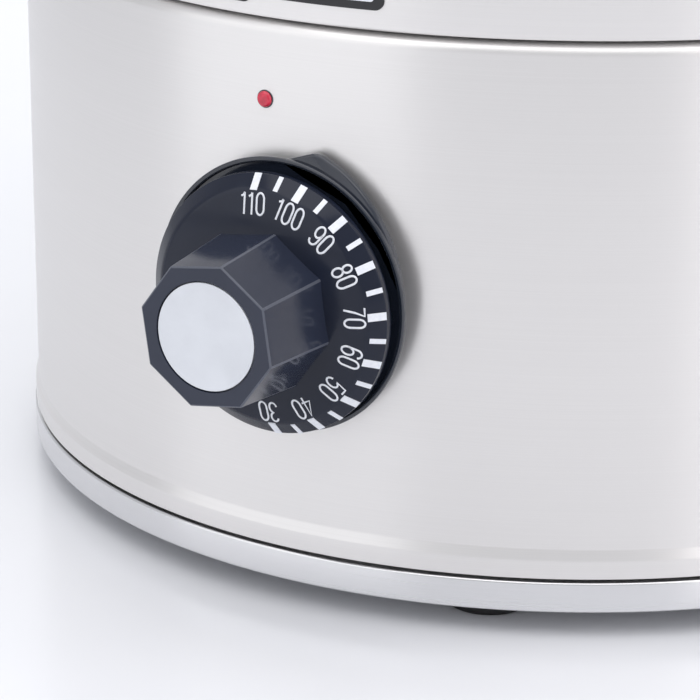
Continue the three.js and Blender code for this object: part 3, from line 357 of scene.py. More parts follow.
def spun(outline, steps=WALL_STEPS, closed=True):
    """A bmesh turned about +Z from an outline of (radius, height). A closed one joins its ends."""
    mesh = bmesh.new()
    verts = [mesh.verts.new((radius, 0, height)) for radius, height in outline]
    ends = verts[1:] + verts[:1] if closed else verts[1:]
    edges = [mesh.edges.new(pair) for pair in zip(verts, ends)]
    bmesh.ops.spin(
        mesh, geom=verts + edges, cent=(0, 0, 0), axis=(0, 0, 1), dvec=(0, 0, 0),
        angle=2 * math.pi, steps=steps, use_merge=True,
    )
    bmesh.ops.remove_doubles(mesh, verts=mesh.verts, dist=MERGE_DISTANCE)
    bmesh.ops.recalc_face_normals(mesh, faces=mesh.faces)
    return mesh


def soften(mesh, edges, radius, segments=3):
    """Rounds edges."""
    bmesh.ops.bevel(
        mesh, geom=edges, affect="EDGES", offset=radius, segments=segments,
        profile=0.5, material=-1, clamp_overlap=True,
    )


def piece(name, mesh, finish, body, place=None, replaced=(), crease=35):
    """Turns a bmesh into a piece that rides a body and stands for the CAD nodes it replaces."""
    data = bpy.data.meshes.new(name)
    if place:
        bmesh.ops.transform(mesh, matrix=place, verts=mesh.verts)
    mesh.to_mesh(data)
    mesh.free()
    for face in data.polygons:
        face.use_smooth = True
    data.set_sharp_from_angle(angle=math.radians(crease))
    data.materials.append(finish)
    made = bpy.data.objects.new(name, data)
    bpy.context.scene.collection.objects.link(made)
    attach(made, body)
    if replaced:
        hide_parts(*replaced)
    return made


ON_AXIS = Matrix.Translation(AXIS)


# ---- drum ----
def open_window(mesh, azimuth, node, margin):
    """Opens a sheet wall behind a node's flange and closes the cut's edges."""
    low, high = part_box(node)
    turn = math.radians(azimuth)
    half = math.hypot(high.x - low.x, high.y - low.y) / 2 - margin
    gone = []
    for face in mesh.faces:
        centre = face.calc_center_median()
        out = math.atan2(centre.x, -centre.y)
        away = math.remainder(out - turn, 2 * math.pi) * DRUM_RADIUS
        if abs(away) < half and low.z + margin < centre.z < high.z - margin:
            gone.append(face)
    bmesh.ops.delete(mesh, geom=gone, context="FACES")
    rims = [edge for edge in mesh.edges if edge.is_boundary]
    bmesh.ops.bridge_loops(mesh, edges=rims)


def make_drum():
    """The wall, flared at its foot and turned in at its top, with openings for the inlet and the switch."""
    shoulder = 3 * MM
    edge = 0.3 * MM
    foot = PAN_LEVEL + 9.3 * MM
    flare_start = PAN_LEVEL + 14.4 * MM
    flare_end = PAN_LEVEL + 17.2 * MM
    ledge = DRUM_RADIUS - SEAM_LEDGE
    crease = 2 * MM
    lowest_row = PAN_LEVEL + 34 * MM
    row = 4 * MM
    levels = [lowest_row + step * row for step in range(8)]
    outline = rounded([
        (FLARE_RADIUS, foot, edge),
        (FLARE_RADIUS, flare_start, crease),
        (DRUM_RADIUS, flare_end, crease),
        *[(DRUM_RADIUS, level) for level in levels],
        (DRUM_RADIUS, SEAM_LEVEL, shoulder),
        (ledge, SEAM_LEVEL),
        (ledge, SEAM_LEVEL - SHEET),
        (DRUM_RADIUS - SHEET, SEAM_LEVEL - SHEET, shoulder - SHEET),
        *[(DRUM_RADIUS - SHEET, level) for level in reversed(levels)],
        (DRUM_RADIUS - SHEET, flare_end, crease),
        (FLARE_RADIUS - SHEET, flare_start, crease),
        (FLARE_RADIUS - SHEET, foot, edge),
    ])
    mesh = spun(outline)
    open_window(mesh, INLET_AZIMUTH, "inlet_body", margin=5 * MM)
    open_window(mesh, SWITCH_AZIMUTH, "switch_frame", margin=4 * MM)
    piece("drum_wall", mesh, WALL_STEEL, "base", ON_AXIS, ["drum_shell"])


def make_pan():
    """The pan: its band under the wall, its spigot inside it, and its floor with the air intakes."""
    band_top = PAN_LEVEL + 8.4 * MM
    fit = 0.3 * MM
    edge = 0.3 * MM
    spigot = DRUM_RADIUS - SHEET - fit
    lap = spigot - 10 * MM
    middle_hole = 1 * MM
    outline = rounded([
        (BAND_RADIUS, PAN_LEVEL, 0.9 * MM),
        (BAND_RADIUS, band_top, 0.6 * MM),
        (spigot, band_top, 0.5 * MM),
        (spigot, PAN_HIGH.z, edge),
        (spigot - SHEET, PAN_HIGH.z, edge),
        (spigot - SHEET, PAN_LEVEL + SHEET, 1 * MM),
        (lap, PAN_LEVEL + SHEET),
        (lap, PAN_LEVEL),
    ])
    piece("pan_band", spun(outline), BAND_STEEL, "base", ON_AXIS, ["bottom_pan"])
    floor = slotted_disc(
        middle_hole, lap, PAN_LEVEL, PAN_LEVEL + SHEET, inner=42 * MM, outer=74 * MM, count=6, angle=32)
    piece("pan_floor", floor, BAND_STEEL, "base", ON_AXIS)


def make_feet():
    """Four feet, each with a counterbored hole for its screw."""
    counterbore = 4.3 * MM
    hole = 2.3 * MM
    shelf = 3.5 * MM
    draft = 0.6 * MM
    for number in range(1, 5):
        low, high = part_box(f"foot_{number}")
        middle = Matrix.Translation(((low.x + high.x) / 2, (low.y + high.y) / 2, 0))
        radius = (high.x - low.x) / 2
        outline = rounded([
            (counterbore, low.z),
            (radius, low.z, 1.4 * MM),
            (radius - draft, high.z, 0.6 * MM),
            (hole, high.z),
            (hole, shelf),
            (counterbore, shelf),
        ])
        mesh = spun(outline, SMALL_STEPS)
        piece(f"rubber_foot_{number}", mesh, RUBBER, "base", middle, [f"foot_{number}"])


# ---- dial ----
SCALE_TOP = 110
SCALE_FOOT = 30
SCALE_STEP = 22.5  # degrees between two numbers
SCALE_TURN = -4.6  # where the top number stands at rest, degrees clockwise from upright
WHOLE_MARK = (2.03 * MM, 4.8 * MM)
HALF_MARK = (1.3 * MM, 4.2 * MM)
MARK_HEIGHT = 0.3 * MM
KNOB_REACH = 30 * MM  # from the skirt's edge to the grip's face
SKIRT_EDGE = GRIP_FACE - KNOB_REACH
SKIRT_BACK = SKIRT_EDGE - 2.2 * MM
# Points on the skirt's section, as (radius, height): the marks' outer and inner ends, and the grip's foot.
MARK_EDGE = Vector((SKIRT_RADIUS, SKIRT_EDGE))
MARK_INNER = MARK_EDGE + Vector((-3.7 * MM, 3.2 * MM))
GRIP_FOOT = Vector((20 * MM, MARK_INNER.y + 2.5 * MM))
GRIP_SIDES = 8
GRIP_BASE_RADIUS = 21.6 * MM
GRIP_FACE_RADIUS = 19.5 * MM
GRIP_TURN = 14
CAP_RADIUS = 14 * MM
CAP_GROOVE = 0.4 * MM
CAP_DEPTH = 1.1 * MM
CAP_SINK = 0.05 * MM
DIAL = wall_frame(0, DIAL_LEVEL)


def make_skirt():
    """The knob's hollow skirt: an outer band for the marks and a shallower cone for the numbers."""
    wall = 2 * MM
    lap = 6 * MM
    edge = 0.3 * MM
    outline = rounded([
        (SKIRT_RADIUS, SKIRT_BACK, edge),
        (SKIRT_RADIUS, SKIRT_EDGE, 0.4 * MM),
        (*MARK_INNER, 4 * MM),
        tuple(GRIP_FOOT),
        (GRIP_FOOT.x - lap, GRIP_FOOT.y),
        (GRIP_FOOT.x - lap, GRIP_FOOT.y - wall),
        (MARK_INNER.x - wall, MARK_INNER.y - wall),
        (SKIRT_RADIUS - wall, SKIRT_EDGE - wall / 2),
        (SKIRT_RADIUS - wall, SKIRT_BACK, edge),
    ], steps=8)
    piece("dial_skirt", spun(outline, DIAL_STEPS), SKIRT_PLASTIC, "dial", DIAL)


def make_grip():
    """The eight-sided grip, with a round recess for its cap and lighter edges, which are a painted
    highlight on their rounding.
    """
    root = 2 * MM
    depth = GRIP_FACE - GRIP_FOOT.y + root
    mesh = bmesh.new()
    bmesh.ops.create_cone(
        mesh, cap_ends=True, segments=GRIP_SIDES, depth=depth,
        radius1=GRIP_BASE_RADIUS, radius2=GRIP_FACE_RADIUS)
    lift = Matrix.Translation((0, 0, GRIP_FACE - depth / 2))
    turn = Matrix.Rotation(math.radians(90 - GRIP_TURN), 4, "Z")
    bmesh.ops.transform(mesh, matrix=lift @ turn, verts=mesh.verts)
    soften(mesh, mesh.edges[:], 0.4 * MM)
    strip = 15 * MM * MM  # the rounded edges' faces are smaller than this, the flats are larger
    # The small edge faces take the lighter second finish, a painted highlight.
    for face in mesh.faces:
        face.material_index = int(face.calc_area() < strip)
    front = max(mesh.faces, key=lambda face: (round(face.calc_center_median().z, 6), face.calc_area()))
    rim = list(front.edges)
    bmesh.ops.delete(mesh, geom=[front], context="FACES_ONLY")
    recess = bmesh.ops.create_circle(mesh, segments=SMALL_STEPS, radius=CAP_RADIUS + CAP_GROOVE)["verts"]
    bmesh.ops.translate(mesh, verts=recess, vec=(0, 0, GRIP_FACE))
    bmesh.ops.triangle_fill(mesh, use_beauty=True, edges=rim + edges_among(mesh, recess))
    sides = bmesh.ops.extrude_edge_only(mesh, edges=edges_among(mesh, recess))["geom"]
    floor = [item for item in sides if isinstance(item, bmesh.types.BMVert)]
    bmesh.ops.translate(mesh, verts=floor, vec=(0, 0, -CAP_DEPTH))
    bmesh.ops.contextual_create(mesh, geom=floor)
    bmesh.ops.recalc_face_normals(mesh, faces=mesh.faces)
    grip = piece("dial_grip", mesh, GRIP_PLASTIC, "dial", DIAL, ["dial_knob"], crease=10)
    grip.data.materials.append(GRIP_EDGE_HIGHLIGHT)


def make_cap():
    """The silver disc in the grip's recess."""
    bottom = GRIP_FACE - CAP_DEPTH
    top = GRIP_FACE - CAP_SINK
    outline = rounded([(0, bottom), (CAP_RADIUS, bottom), (CAP_RADIUS, top, 0.15 * MM), (0, top)])
    disc = spun(outline, SMALL_STEPS, closed=False)
    piece("dial_cap_disc", disc, CAP_SILVER, "dial", DIAL, ["dial_cap"])


def on_skirt(angle, inner, outer, share=0.5):
    """A frame on the skirt at an angle clockwise from upright: x across, y outwards along the slope."""
    spot = inner.lerp(outer, share)
    slope = math.atan2(outer.y - inner.y, outer.x - inner.x)
    turn = Matrix.Rotation(-math.radians(angle), 4, "Z")
    return turn @ Matrix.Translation((0, spot.x, spot.y)) @ Matrix.Rotation(slope, 4, "X")


def mark(angle, width, length):
    """One white mark, a thin bar let into the skirt's outer band."""
    bar = bmesh.new()
    bmesh.ops.create_cube(bar, size=1)
    bmesh.ops.scale(bar, vec=(width, length, MARK_HEIGHT), verts=bar.verts)
    share = 1 - length / 2 / (MARK_EDGE - MARK_INNER).length
    bmesh.ops.transform(bar, matrix=on_skirt(angle, MARK_INNER, MARK_EDGE, share), verts=bar.verts)
    return bar


# Each figure is drawn with a pen in a box that is about 1 high with the pen's own width. The box's foot
# is at 0, and its sides are at plus and minus the half width.
PEN = 0.092
FIGURE_TOP = 0.92
FIGURE_HALF = 0.18
FIGURE_SPAN = 0.51
NARROW_SPAN = 0.37
NUMERAL_HEIGHT = 6 * MM
NUMERAL_GAP = 0.35 * MM


def bow(centre_y, radius_x, radius_y, start, end, steps=12):
    """Points on an elliptical arc, its angles in degrees anticlockwise from the right."""
    points = []
    for step in range(steps + 1):
        angle = math.radians(start + (end - start) * step / steps)
        points.append((radius_x * math.cos(angle), centre_y + radius_y * math.sin(angle)))
    return points


def half_turned(strokes):
    """A figure turned by half a turn, which makes a nine of a six."""
    return [[(-x, FIGURE_TOP - y) for x, y in stroke] for stroke in strokes]


def figure_six():
    bowl = bow(0.27, FIGURE_HALF, 0.27, 180, 540, 24)
    spine = bow(FIGURE_TOP - 0.22, FIGURE_HALF, 0.22, 15, 180) + [(-FIGURE_HALF, 0.27)]
    return [bowl, spine]


def figure_strokes(figure):
    """The pen's strokes for one figure, about x = 0."""
    top = FIGURE_TOP
    half = FIGURE_HALF
    waist = 0.49
    if figure == "0":
        oval = bow(top - 0.26, half, 0.26, 0, 180) + bow(0.26, half, 0.26, 180, 360)
        return [oval + [(half, top - 0.26)]]
    if figure == "1":
        return [[(0.03, 0), (0.03, top)], [(0.03, top), (-0.02, top - 0.11), (-0.12, top - 0.16)]]
    if figure == "3":
        upper = (top - waist) / 2
        lower = waist / 2
        return [bow(top - upper, half * 0.94, upper, 165, -90) + bow(lower, half, lower, 90, -165)]
    if figure == "4":
        return [[(0.09, 0), (0.09, top), (-0.2, 0.25), (0.2, 0.25)]]
    if figure == "5":
        bowl = bow(0.28, half, 0.28, 140, -165)
        return [[(0.14, top), (-0.13, top), (-0.16, 0.45)] + bowl]
    if figure == "6":
        return figure_six()
    if figure == "7":
        return [[(-half, top), (half, top), (0.04, 0.5), (-0.06, 0)]]
    if figure == "8":
        upper = (top - waist) / 2
        lower = waist / 2
        return [bow(top - upper, half * 0.86, upper, 0, 360, 24), bow(lower, half, lower, 0, 360, 24)]
    return half_turned(figure_six())


def numeral(text, angle):
    """One number, standing with its top towards the rim."""
    spans = [NARROW_SPAN if figure == "1" else FIGURE_SPAN for figure in text]
    curve = bpy.data.curves.new("numeral", "CURVE")
    curve.dimensions = "3D"
    curve.bevel_depth = PEN / 2
    curve.bevel_resolution = 1
    curve.use_fill_caps = True
    left = -sum(spans) / 2
    for figure, span in zip(text, spans):
        for stroke in figure_strokes(figure):
            line = curve.splines.new("POLY")
            line.points.add(len(stroke) - 1)
            for point, (x, y) in zip(line.points, stroke):
                point.co = (left + span / 2 + x, y - FIGURE_TOP / 2, 0, 1)
        left += span
    holder = bpy.data.objects.new("numeral", curve)
    data = bpy.data.meshes.new_from_object(holder)
    bpy.data.objects.remove(holder)
    bpy.data.curves.remove(curve)
    size = Matrix.Diagonal((NUMERAL_HEIGHT, NUMERAL_HEIGHT, NUMERAL_HEIGHT / 2, 1))
    slope = (MARK_INNER - GRIP_FOOT).length
    share = 1 - (NUMERAL_HEIGHT / 2 + NUMERAL_GAP) / slope
    data.transform(on_skirt(angle, GRIP_FOOT, MARK_INNER, share) @ size)
    return data


def make_markings():
    """The scale: a number and a broad mark at every ten, and a narrow mark between them."""
    mesh = bmesh.new()
    for index, value in enumerate(range(SCALE_TOP, SCALE_FOOT - 1, -5)):
        angle = SCALE_TURN + index * SCALE_STEP / 2
        whole = value % 10 == 0
        bar = mark(angle, *(WHOLE_MARK if whole else HALF_MARK))
        data = bpy.data.meshes.new("bar")
        bar.to_mesh(data)
        bar.free()
        mesh.from_mesh(data)
        bpy.data.meshes.remove(data)
        if whole:
            figures = numeral(str(value), angle)
            mesh.from_mesh(figures)
            bpy.data.meshes.remove(figures)
    piece("dial_markings", mesh, WHITE_PRINT, "dial", DIAL)


BEZEL_RIM = 1.4 * MM
BEZEL_CHAMFER = 1.3 * MM
BEZEL_NECK = 30 * MM
# The pointer: azimuths clockwise from upright where it starts, peaks and ends, and how far it stands out.
POINTER_START = -2
POINTER_TIP = 15
POINTER_END = 85
POINTER_RISE = 5.2 * MM
POINTER_FALL = 1.3  # the power by which it falls away after the tip
POINTER_DEPTH = 2.2 * MM


def make_bezel():
    """The fixed black dish behind the dial, on a narrow neck, with a raised rim and a pointer."""
    plate = BEZEL_FACE - 1.2 * MM
    root = -6 * MM  # behind the wall's tangent plane, so the neck meets the curved wall all round
    bore = BEZEL_NECK - 3 * MM
    outline = rounded([
        (bore, root),
        (BEZEL_NECK, root),
        (BEZEL_NECK, -2 * MM, 3 * MM),
        (BEZEL_RADIUS - BEZEL_CHAMFER, plate - BEZEL_RIM, 0.5 * MM),
        (BEZEL_RADIUS, plate, 0.6 * MM),
        (BEZEL_RADIUS, BEZEL_FACE, 0.5 * MM),
        (BEZEL_RADIUS - BEZEL_RIM, BEZEL_FACE, 0.5 * MM),
        (BEZEL_RADIUS - BEZEL_RIM, plate, 0.2 * MM),
        (bore, plate),
    ], steps=8)
    place = DIAL @ Matrix.Translation((0, BEZEL_LIFT, 0))
    piece("bezel", spun(outline, DIAL_STEPS), BEZEL_PLASTIC, "base", place, ["bezel_ring"])
    make_pointer(place, plate)


def clock_point(azimuth, radius):
    """A flat point at an angle in degrees clockwise from upright."""
    angle = math.radians(90 - azimuth)
    return (radius * math.cos(angle), radius * math.sin(angle))


def make_pointer(place, face):
    """The nose that the numbers are read against: it rises steeply to a tip and falls away slowly."""
    base = BEZEL_RADIUS - BEZEL_CHAMFER
    inside = base - 3 * MM
    corners = [clock_point(POINTER_START, base), (*clock_point(POINTER_TIP, base + POINTER_RISE), 5 * MM)]
    for azimuth in range(POINTER_TIP + 10, POINTER_END + 1, 5):
        share = (POINTER_END - azimuth) / (POINTER_END - POINTER_TIP)
        corners.append(clock_point(azimuth, base + POINTER_RISE * share ** POINTER_FALL))
    corners += [clock_point(azimuth, inside) for azimuth in (60, 35, 10)]
    mesh = bmesh.new()
    mesh.faces.new([mesh.verts.new((*point, face - POINTER_DEPTH)) for point in rounded(corners, 10)])
    thicken(mesh, POINTER_DEPTH)
    level = [edge for edge in mesh.edges if abs(edge.verts[0].co.z - edge.verts[1].co.z) < MERGE_DISTANCE]
    soften(mesh, level, 0.7 * MM)
    piece("bezel_pointer", mesh, BEZEL_PLASTIC, "base", place)


def make_lamp():
    """The red lens and the thin black collar round its foot."""
    low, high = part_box("lamp_lens")
    radius = (high.z - low.z) / 2
    root = -1 * MM
    lens_top = 1.1 * MM
    place = wall_frame(LAMP_AZIMUTH, (low.z + high.z) / 2)
    dome = rounded([(0, root), (radius, root), (radius, lens_top, 0.8 * MM), (0, lens_top)])
    lens = spun(dome, LAMP_STEPS, closed=False)
    piece("lamp_dome", lens, LAMP_RED, "base", place, ["lamp_lens"])
    collar_top = 0.25 * MM
    outer = radius + 0.25 * MM
    inner = radius - 0.15 * MM
    edge = 0.1 * MM
    collar = rounded([(outer, root), (outer, collar_top, edge), (inner, collar_top, edge), (inner, root)])
    piece("lamp_collar", spun(collar, LAMP_STEPS), BEZEL_PLASTIC, "base", place)


# ---- heater ring, trays and lid ----
def tray_outline(bottom, top):
    """A tray's section: a wall with a rolled rim, a ledge for the floor and a spigot that nests."""
    inner = STACK_RADIUS - SHEET
    ledge = SPIGOT_RADIUS - 9 * MM
    foot = bottom - NEST_GAP - NEST_DEPTH
    return rounded([
        (STACK_RADIUS, bottom, 0.5 * MM),
        (STACK_RADIUS, top, RIM_ROLL),
        (STACK_RADIUS - RIM_WIDTH, top, RIM_ROLL),
        (STACK_RADIUS - RIM_WIDTH, top - RIM_DEPTH, RIM_FILLET),
        (inner, top - RIM_DEPTH),
        (inner, bottom + SHEET),
        (ledge, bottom + SHEET, 0.5 * MM),
        (ledge, bottom, 0.5 * MM),
        (SPIGOT_RADIUS - SHEET, bottom),
        (SPIGOT_RADIUS - SHEET, foot, 0.4 * MM),
        (SPIGOT_RADIUS, foot, 0.4 * MM),
        (SPIGOT_RADIUS, bottom),
    ])


def make_heater_ring():
    """The ring over the seam: a flange at its foot and a ledge inside that carries the guard."""
    ledge = RING_TOP - 14.3 * MM
    ledge_radius = SPIGOT_RADIUS - 6 * MM
    flange = DRUM_RADIUS - SEAM_LEDGE
    inner = STACK_RADIUS - SHEET
    outline = rounded([
        (flange, RING_LEVEL),
        (STACK_RADIUS, RING_LEVEL, 0.6 * MM),
        (STACK_RADIUS, RING_TOP, RIM_ROLL),
        (STACK_RADIUS - RIM_WIDTH, RING_TOP, RIM_ROLL),
        (STACK_RADIUS - RIM_WIDTH, RING_TOP - RIM_DEPTH, RIM_FILLET),
        (inner, RING_TOP - RIM_DEPTH),
        (inner, ledge),
        (ledge_radius, ledge, 0.4 * MM),
        (ledge_radius, ledge - SHEET, 0.4 * MM),
        (inner, ledge - SHEET),
        (inner, RING_LEVEL + SHEET),
        (flange, RING_LEVEL + SHEET),
    ])
    piece("heater_ring_wall", spun(outline), WALL_STEEL, "base", ON_AXIS, ["heater_ring"])


def wire_floor(level, radius, pitch=9 * MM):
    """Crossed wires welded in a hoop."""
    wire = 0.55 * MM
    edge = 0.4 * MM
    hoop_inner = radius - 3 * MM
    hoop = rounded([
        (radius, level - wire, edge),
        (radius, level + wire, edge),
        (hoop_inner, level + wire, edge),
        (hoop_inner, level - wire, edge),
    ], 3)
    mesh = spun(hoop, HOOP_STEPS)
    weld = radius - 1 * MM
    count = int(radius / pitch)
    for step in range(-count, count + 1):
        offset = step * pitch
        half = math.sqrt(weld ** 2 - offset ** 2)
        for turn, height in ((0, level - wire / 2), (math.pi / 2, level + wire / 2)):
            bar = bmesh.ops.create_cone(
                mesh, cap_ends=True, segments=6, radius1=wire, radius2=wire, depth=2 * half)["verts"]
            lie = Matrix.Rotation(math.pi / 2, 4, "X")
            shift = Matrix.Translation((offset, 0, height))
            bmesh.ops.transform(mesh, matrix=Matrix.Rotation(turn, 4, "Z") @ shift @ lie, verts=bar)
    return mesh


def make_guard():
    """The wire guard over the heater and the fan."""
    low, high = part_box("grille")
    mesh = wire_floor((low.z + high.z) / 2, (high.x - low.x) / 2, pitch=6 * MM)
    piece("fan_guard", mesh, WIRE_STEEL, "base", ON_AXIS, ["grille"])


def make_trays():
    """The five stacking trays, each a wall and a mesh floor that rides with it."""
    for number in range(1, 6):
        body = f"tray_{number}"
        ring = f"tray_ring_{number}"
        low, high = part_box(ring)
        bottom = low.z + NEST_DEPTH + NEST_GAP
        wall = spun(tray_outline(bottom, high.z))
        piece(f"tray_wall_{number}", wall, WALL_STEEL, body, ON_AXIS, [ring])
        floor = f"tray_floor_{number}"
        low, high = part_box(floor)
        wires = wire_floor((low.z + high.z) / 2, (high.x - low.x) / 2)
        piece(f"tray_mesh_{number}", wires, WIRE_STEEL, body, ON_AXIS, [floor])


LID_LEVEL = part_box("lid_rim")[0].z
LID_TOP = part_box("lid_shell")[1].z
LID_FOOT = LID_LEVEL + NEST_DEPTH + NEST_GAP
LID_FLAT = 66 * MM  # the radius of the flat middle
LID_EDGE = STACK_RADIUS - 4 * MM
LID_SHOULDER = LID_FOOT + 7.7 * MM  # where the dome starts


def dome_curve(drop):
    """The lid's low dome from its edge to its flat middle, lowered by a drop."""
    rise = LID_TOP - LID_SHOULDER
    steps = 16
    points = []
    for step in range(steps + 1):
        share = step / steps
        radius = LID_EDGE + (LID_FLAT - LID_EDGE) * share
        points.append(Vector((radius, LID_TOP - rise * (1 - share) ** 2 - drop)))
    return points


def make_lid():
    """The lid's rim with its spigot and inner ledge, the dome on it, and the dome's slotted middle."""
    seat = LID_SHOULDER - SHEET - NEST_GAP
    seat_inner = LID_EDGE - 4 * MM
    knob_hole = 2.3 * MM
    rim = rounded([
        (SPIGOT_RADIUS - SHEET, LID_LEVEL, 0.4 * MM),
        (SPIGOT_RADIUS, LID_LEVEL, 0.4 * MM),
        (SPIGOT_RADIUS, LID_FOOT),
        (STACK_RADIUS, LID_FOOT, 0.5 * MM),
        (STACK_RADIUS, LID_SHOULDER, 3.6 * MM),
        (LID_EDGE, LID_SHOULDER),
        (LID_EDGE, seat),
        (seat_inner, seat),
        (seat_inner, seat - SHEET),
        (SPIGOT_RADIUS - SHEET, seat - SHEET),
    ])
    piece("lid_rim_ring", spun(rim), LID_STEEL, "lid", ON_AXIS, ["lid_rim"])
    lip = LID_FLAT - 12 * MM
    outer = dome_curve(0) + [Vector((lip, LID_TOP))]
    inner = [Vector((lip, LID_TOP - SHEET))] + dome_curve(SHEET)[::-1]
    piece("lid_dome", spun(outer + inner), LID_STEEL, "lid", ON_AXIS, ["lid_shell"])
    middle = slotted_disc(knob_hole, lip, LID_TOP - SHEET, LID_TOP)
    piece("lid_centre", middle, LID_STEEL, "lid", ON_AXIS)


def slotted_disc(hole, radius, bottom, top, inner=26 * MM, outer=50 * MM, count=8, angle=19):
    """A flat disc with a ring of slots between two radii, each an angle wide, the first at +X."""
    steps = 6
    radii = [hole, inner, outer, radius]
    mesh = bmesh.new()
    verts = [mesh.verts.new((value, 0, top)) for value in radii]
    edges = [mesh.edges.new(pair) for pair in zip(verts, verts[1:])]
    pitch = 360 / count
    line = verts + edges
    for _ in range(count):
        for sweep in (angle, pitch - angle):
            made = bmesh.ops.spin(
                mesh, geom=line, cent=(0, 0, 0), axis=(0, 0, 1), dvec=(0, 0, 0),
                angle=math.radians(sweep), steps=steps)
            line = made["geom_last"]
    bmesh.ops.remove_doubles(mesh, verts=mesh.verts, dist=MERGE_DISTANCE)
    turn = Matrix.Rotation(math.radians(-angle / 2), 4, "Z")
    bmesh.ops.transform(mesh, matrix=turn, verts=mesh.verts)
    open_faces = []
    for face in mesh.faces:
        centre = face.calc_center_median()
        azimuth = math.degrees(math.atan2(centre.y, centre.x)) % pitch
        near = min(azimuth, pitch - azimuth)
        if inner < centre.xy.length < outer and near < angle / 2:
            open_faces.append(face)
    bmesh.ops.delete(mesh, geom=open_faces, context="FACES")
    bmesh.ops.recalc_face_normals(mesh, faces=mesh.faces)
    for face in mesh.faces:
        if face.normal.z < 0:
            face.normal_flip()
    bmesh.ops.solidify(mesh, geom=mesh.faces[:], thickness=top - bottom)
    bmesh.ops.recalc_face_normals(mesh, faces=mesh.faces)
    return mesh


def make_shutter():
    """The slotted disc under the knob, with an upright tab to turn it by."""
    low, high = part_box("vent_shutter")
    bottom = low.z
    radius = (high.x - low.x) / 2
    hub_hole = 7.3 * MM
    tab_width = 14 * MM
    mesh = slotted_disc(hub_hole, radius, bottom, bottom + SHEET)
    tab = bmesh.ops.create_cube(mesh, size=1)["verts"]
    size = Vector((tab_width, SHEET, high.z - bottom))
    bmesh.ops.scale(mesh, vec=size, verts=tab)
    bmesh.ops.translate(mesh, verts=tab, vec=(0, -radius + 2 * SHEET, bottom + size.z / 2))
    corners = [
        edge for edge in edges_among(mesh, tab)
        if abs(edge.verts[0].co.y - edge.verts[1].co.y) > SHEET / 2
        and min(vert.co.z for vert in edge.verts) > bottom + SHEET
    ]
    soften(mesh, corners, 3 * MM, segments=5)
    piece("shutter_plate", mesh, LID_STEEL, "shutter", ON_AXIS, ["vent_shutter"])


def make_lid_knob():
    """The turned knob: a hub that the shutter turns on, a collar, a waist and a rounded head."""
    low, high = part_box("lid_knob")
    radius = (high.x - low.x) / 2
    hub_radius = 7 * MM
    collar_radius = 13 * MM
    waist_radius = 9.5 * MM
    collar = low.z + SHEET + 0.4 * MM
    outline = rounded([
        (0, low.z),
        (hub_radius, low.z),
        (hub_radius, collar),
        (collar_radius, collar, 0.6 * MM),
        (collar_radius, collar + 2.4 * MM, 0.8 * MM),
        (waist_radius, collar + 7 * MM, 4 * MM),
        (radius, high.z - 10 * MM, 3.2 * MM),
        (radius, high.z, 5 * MM),
        (0, high.z),
    ], steps=10)
    knob = spun(outline, KNOB_STEPS, closed=False)
    piece("lid_handle", knob, BLACK_PLASTIC, "lid", ON_AXIS, ["lid_knob"])


# ---- finishes of the CAD nodes that stay ----
NODE_FINISHES = {
    "stainless": WIRE_STEEL, "bright_steel": WIRE_STEEL, "zinc": ZINC, "copper": COPPER,
    "rubber": RUBBER, "black_plastic": BLACK_PLASTIC, "white_plastic": WHITE_PLASTIC,
    "silver_cap": CAP_SILVER, "red_lens": LAMP_RED, "printed_plate": WHITE_PRINT,
    "red_sleeve": RED_SLEEVE, "blue_sleeve": BLUE_SLEEVE,
}


def finish_nodes():
    """Gives each CAD node the finish of its material slot."""
    for part in frame["record"]["subparts"]:
        node = frame["nodes"][part["node"]]
        node.data.materials.clear()
        node.data.materials.append(NODE_FINISHES[part["material_slot"]])


# ---- blank plates on the heater ring ----
SIGN_LIFT = 6.1 * MM  # from the seam to the sign's foot
SIGN_SIDE = 34 * MM
SIGN_BORDER = 2.1 * MM
PLATE_LIFT = 4.2 * MM
PLATE_WIDTH = 34 * MM
PLATE_HEIGHT = 30 * MM
PLATE_SEAT = STACK_RADIUS - 0.1 * MM


def wrapped(corners, thickness):
    """A flat outline bent round the wall: fine strips, so that it follows the curve."""
    strip = 2 * MM
    mesh = bmesh.new()
    mesh.faces.new([mesh.verts.new((*point, 0)) for point in rounded(corners, 8)])
    width = max(vert.co.x for vert in mesh.verts)
    for step in range(-int(width / strip), int(width / strip) + 1):
        bmesh.ops.bisect_plane(
            mesh, geom=mesh.verts[:] + mesh.edges[:] + mesh.faces[:],
            plane_co=(step * strip, 0, 0), plane_no=(1, 0, 0))
    thicken(mesh, thickness)
    for vert in mesh.verts:
        bend = vert.co.x / PLATE_SEAT
        reach = PLATE_SEAT + vert.co.z
        vert.co = (reach * math.sin(bend), vert.co.y, reach * math.cos(bend) - PLATE_SEAT)
    return mesh


def triangle(side, rounding, lift=0.0):
    """An upright triangle's corners, its foot at a height of lift."""
    height = side * math.sqrt(3) / 2
    return [(-side / 2, lift, rounding), (side / 2, lift, rounding), (0, height + lift, rounding)]


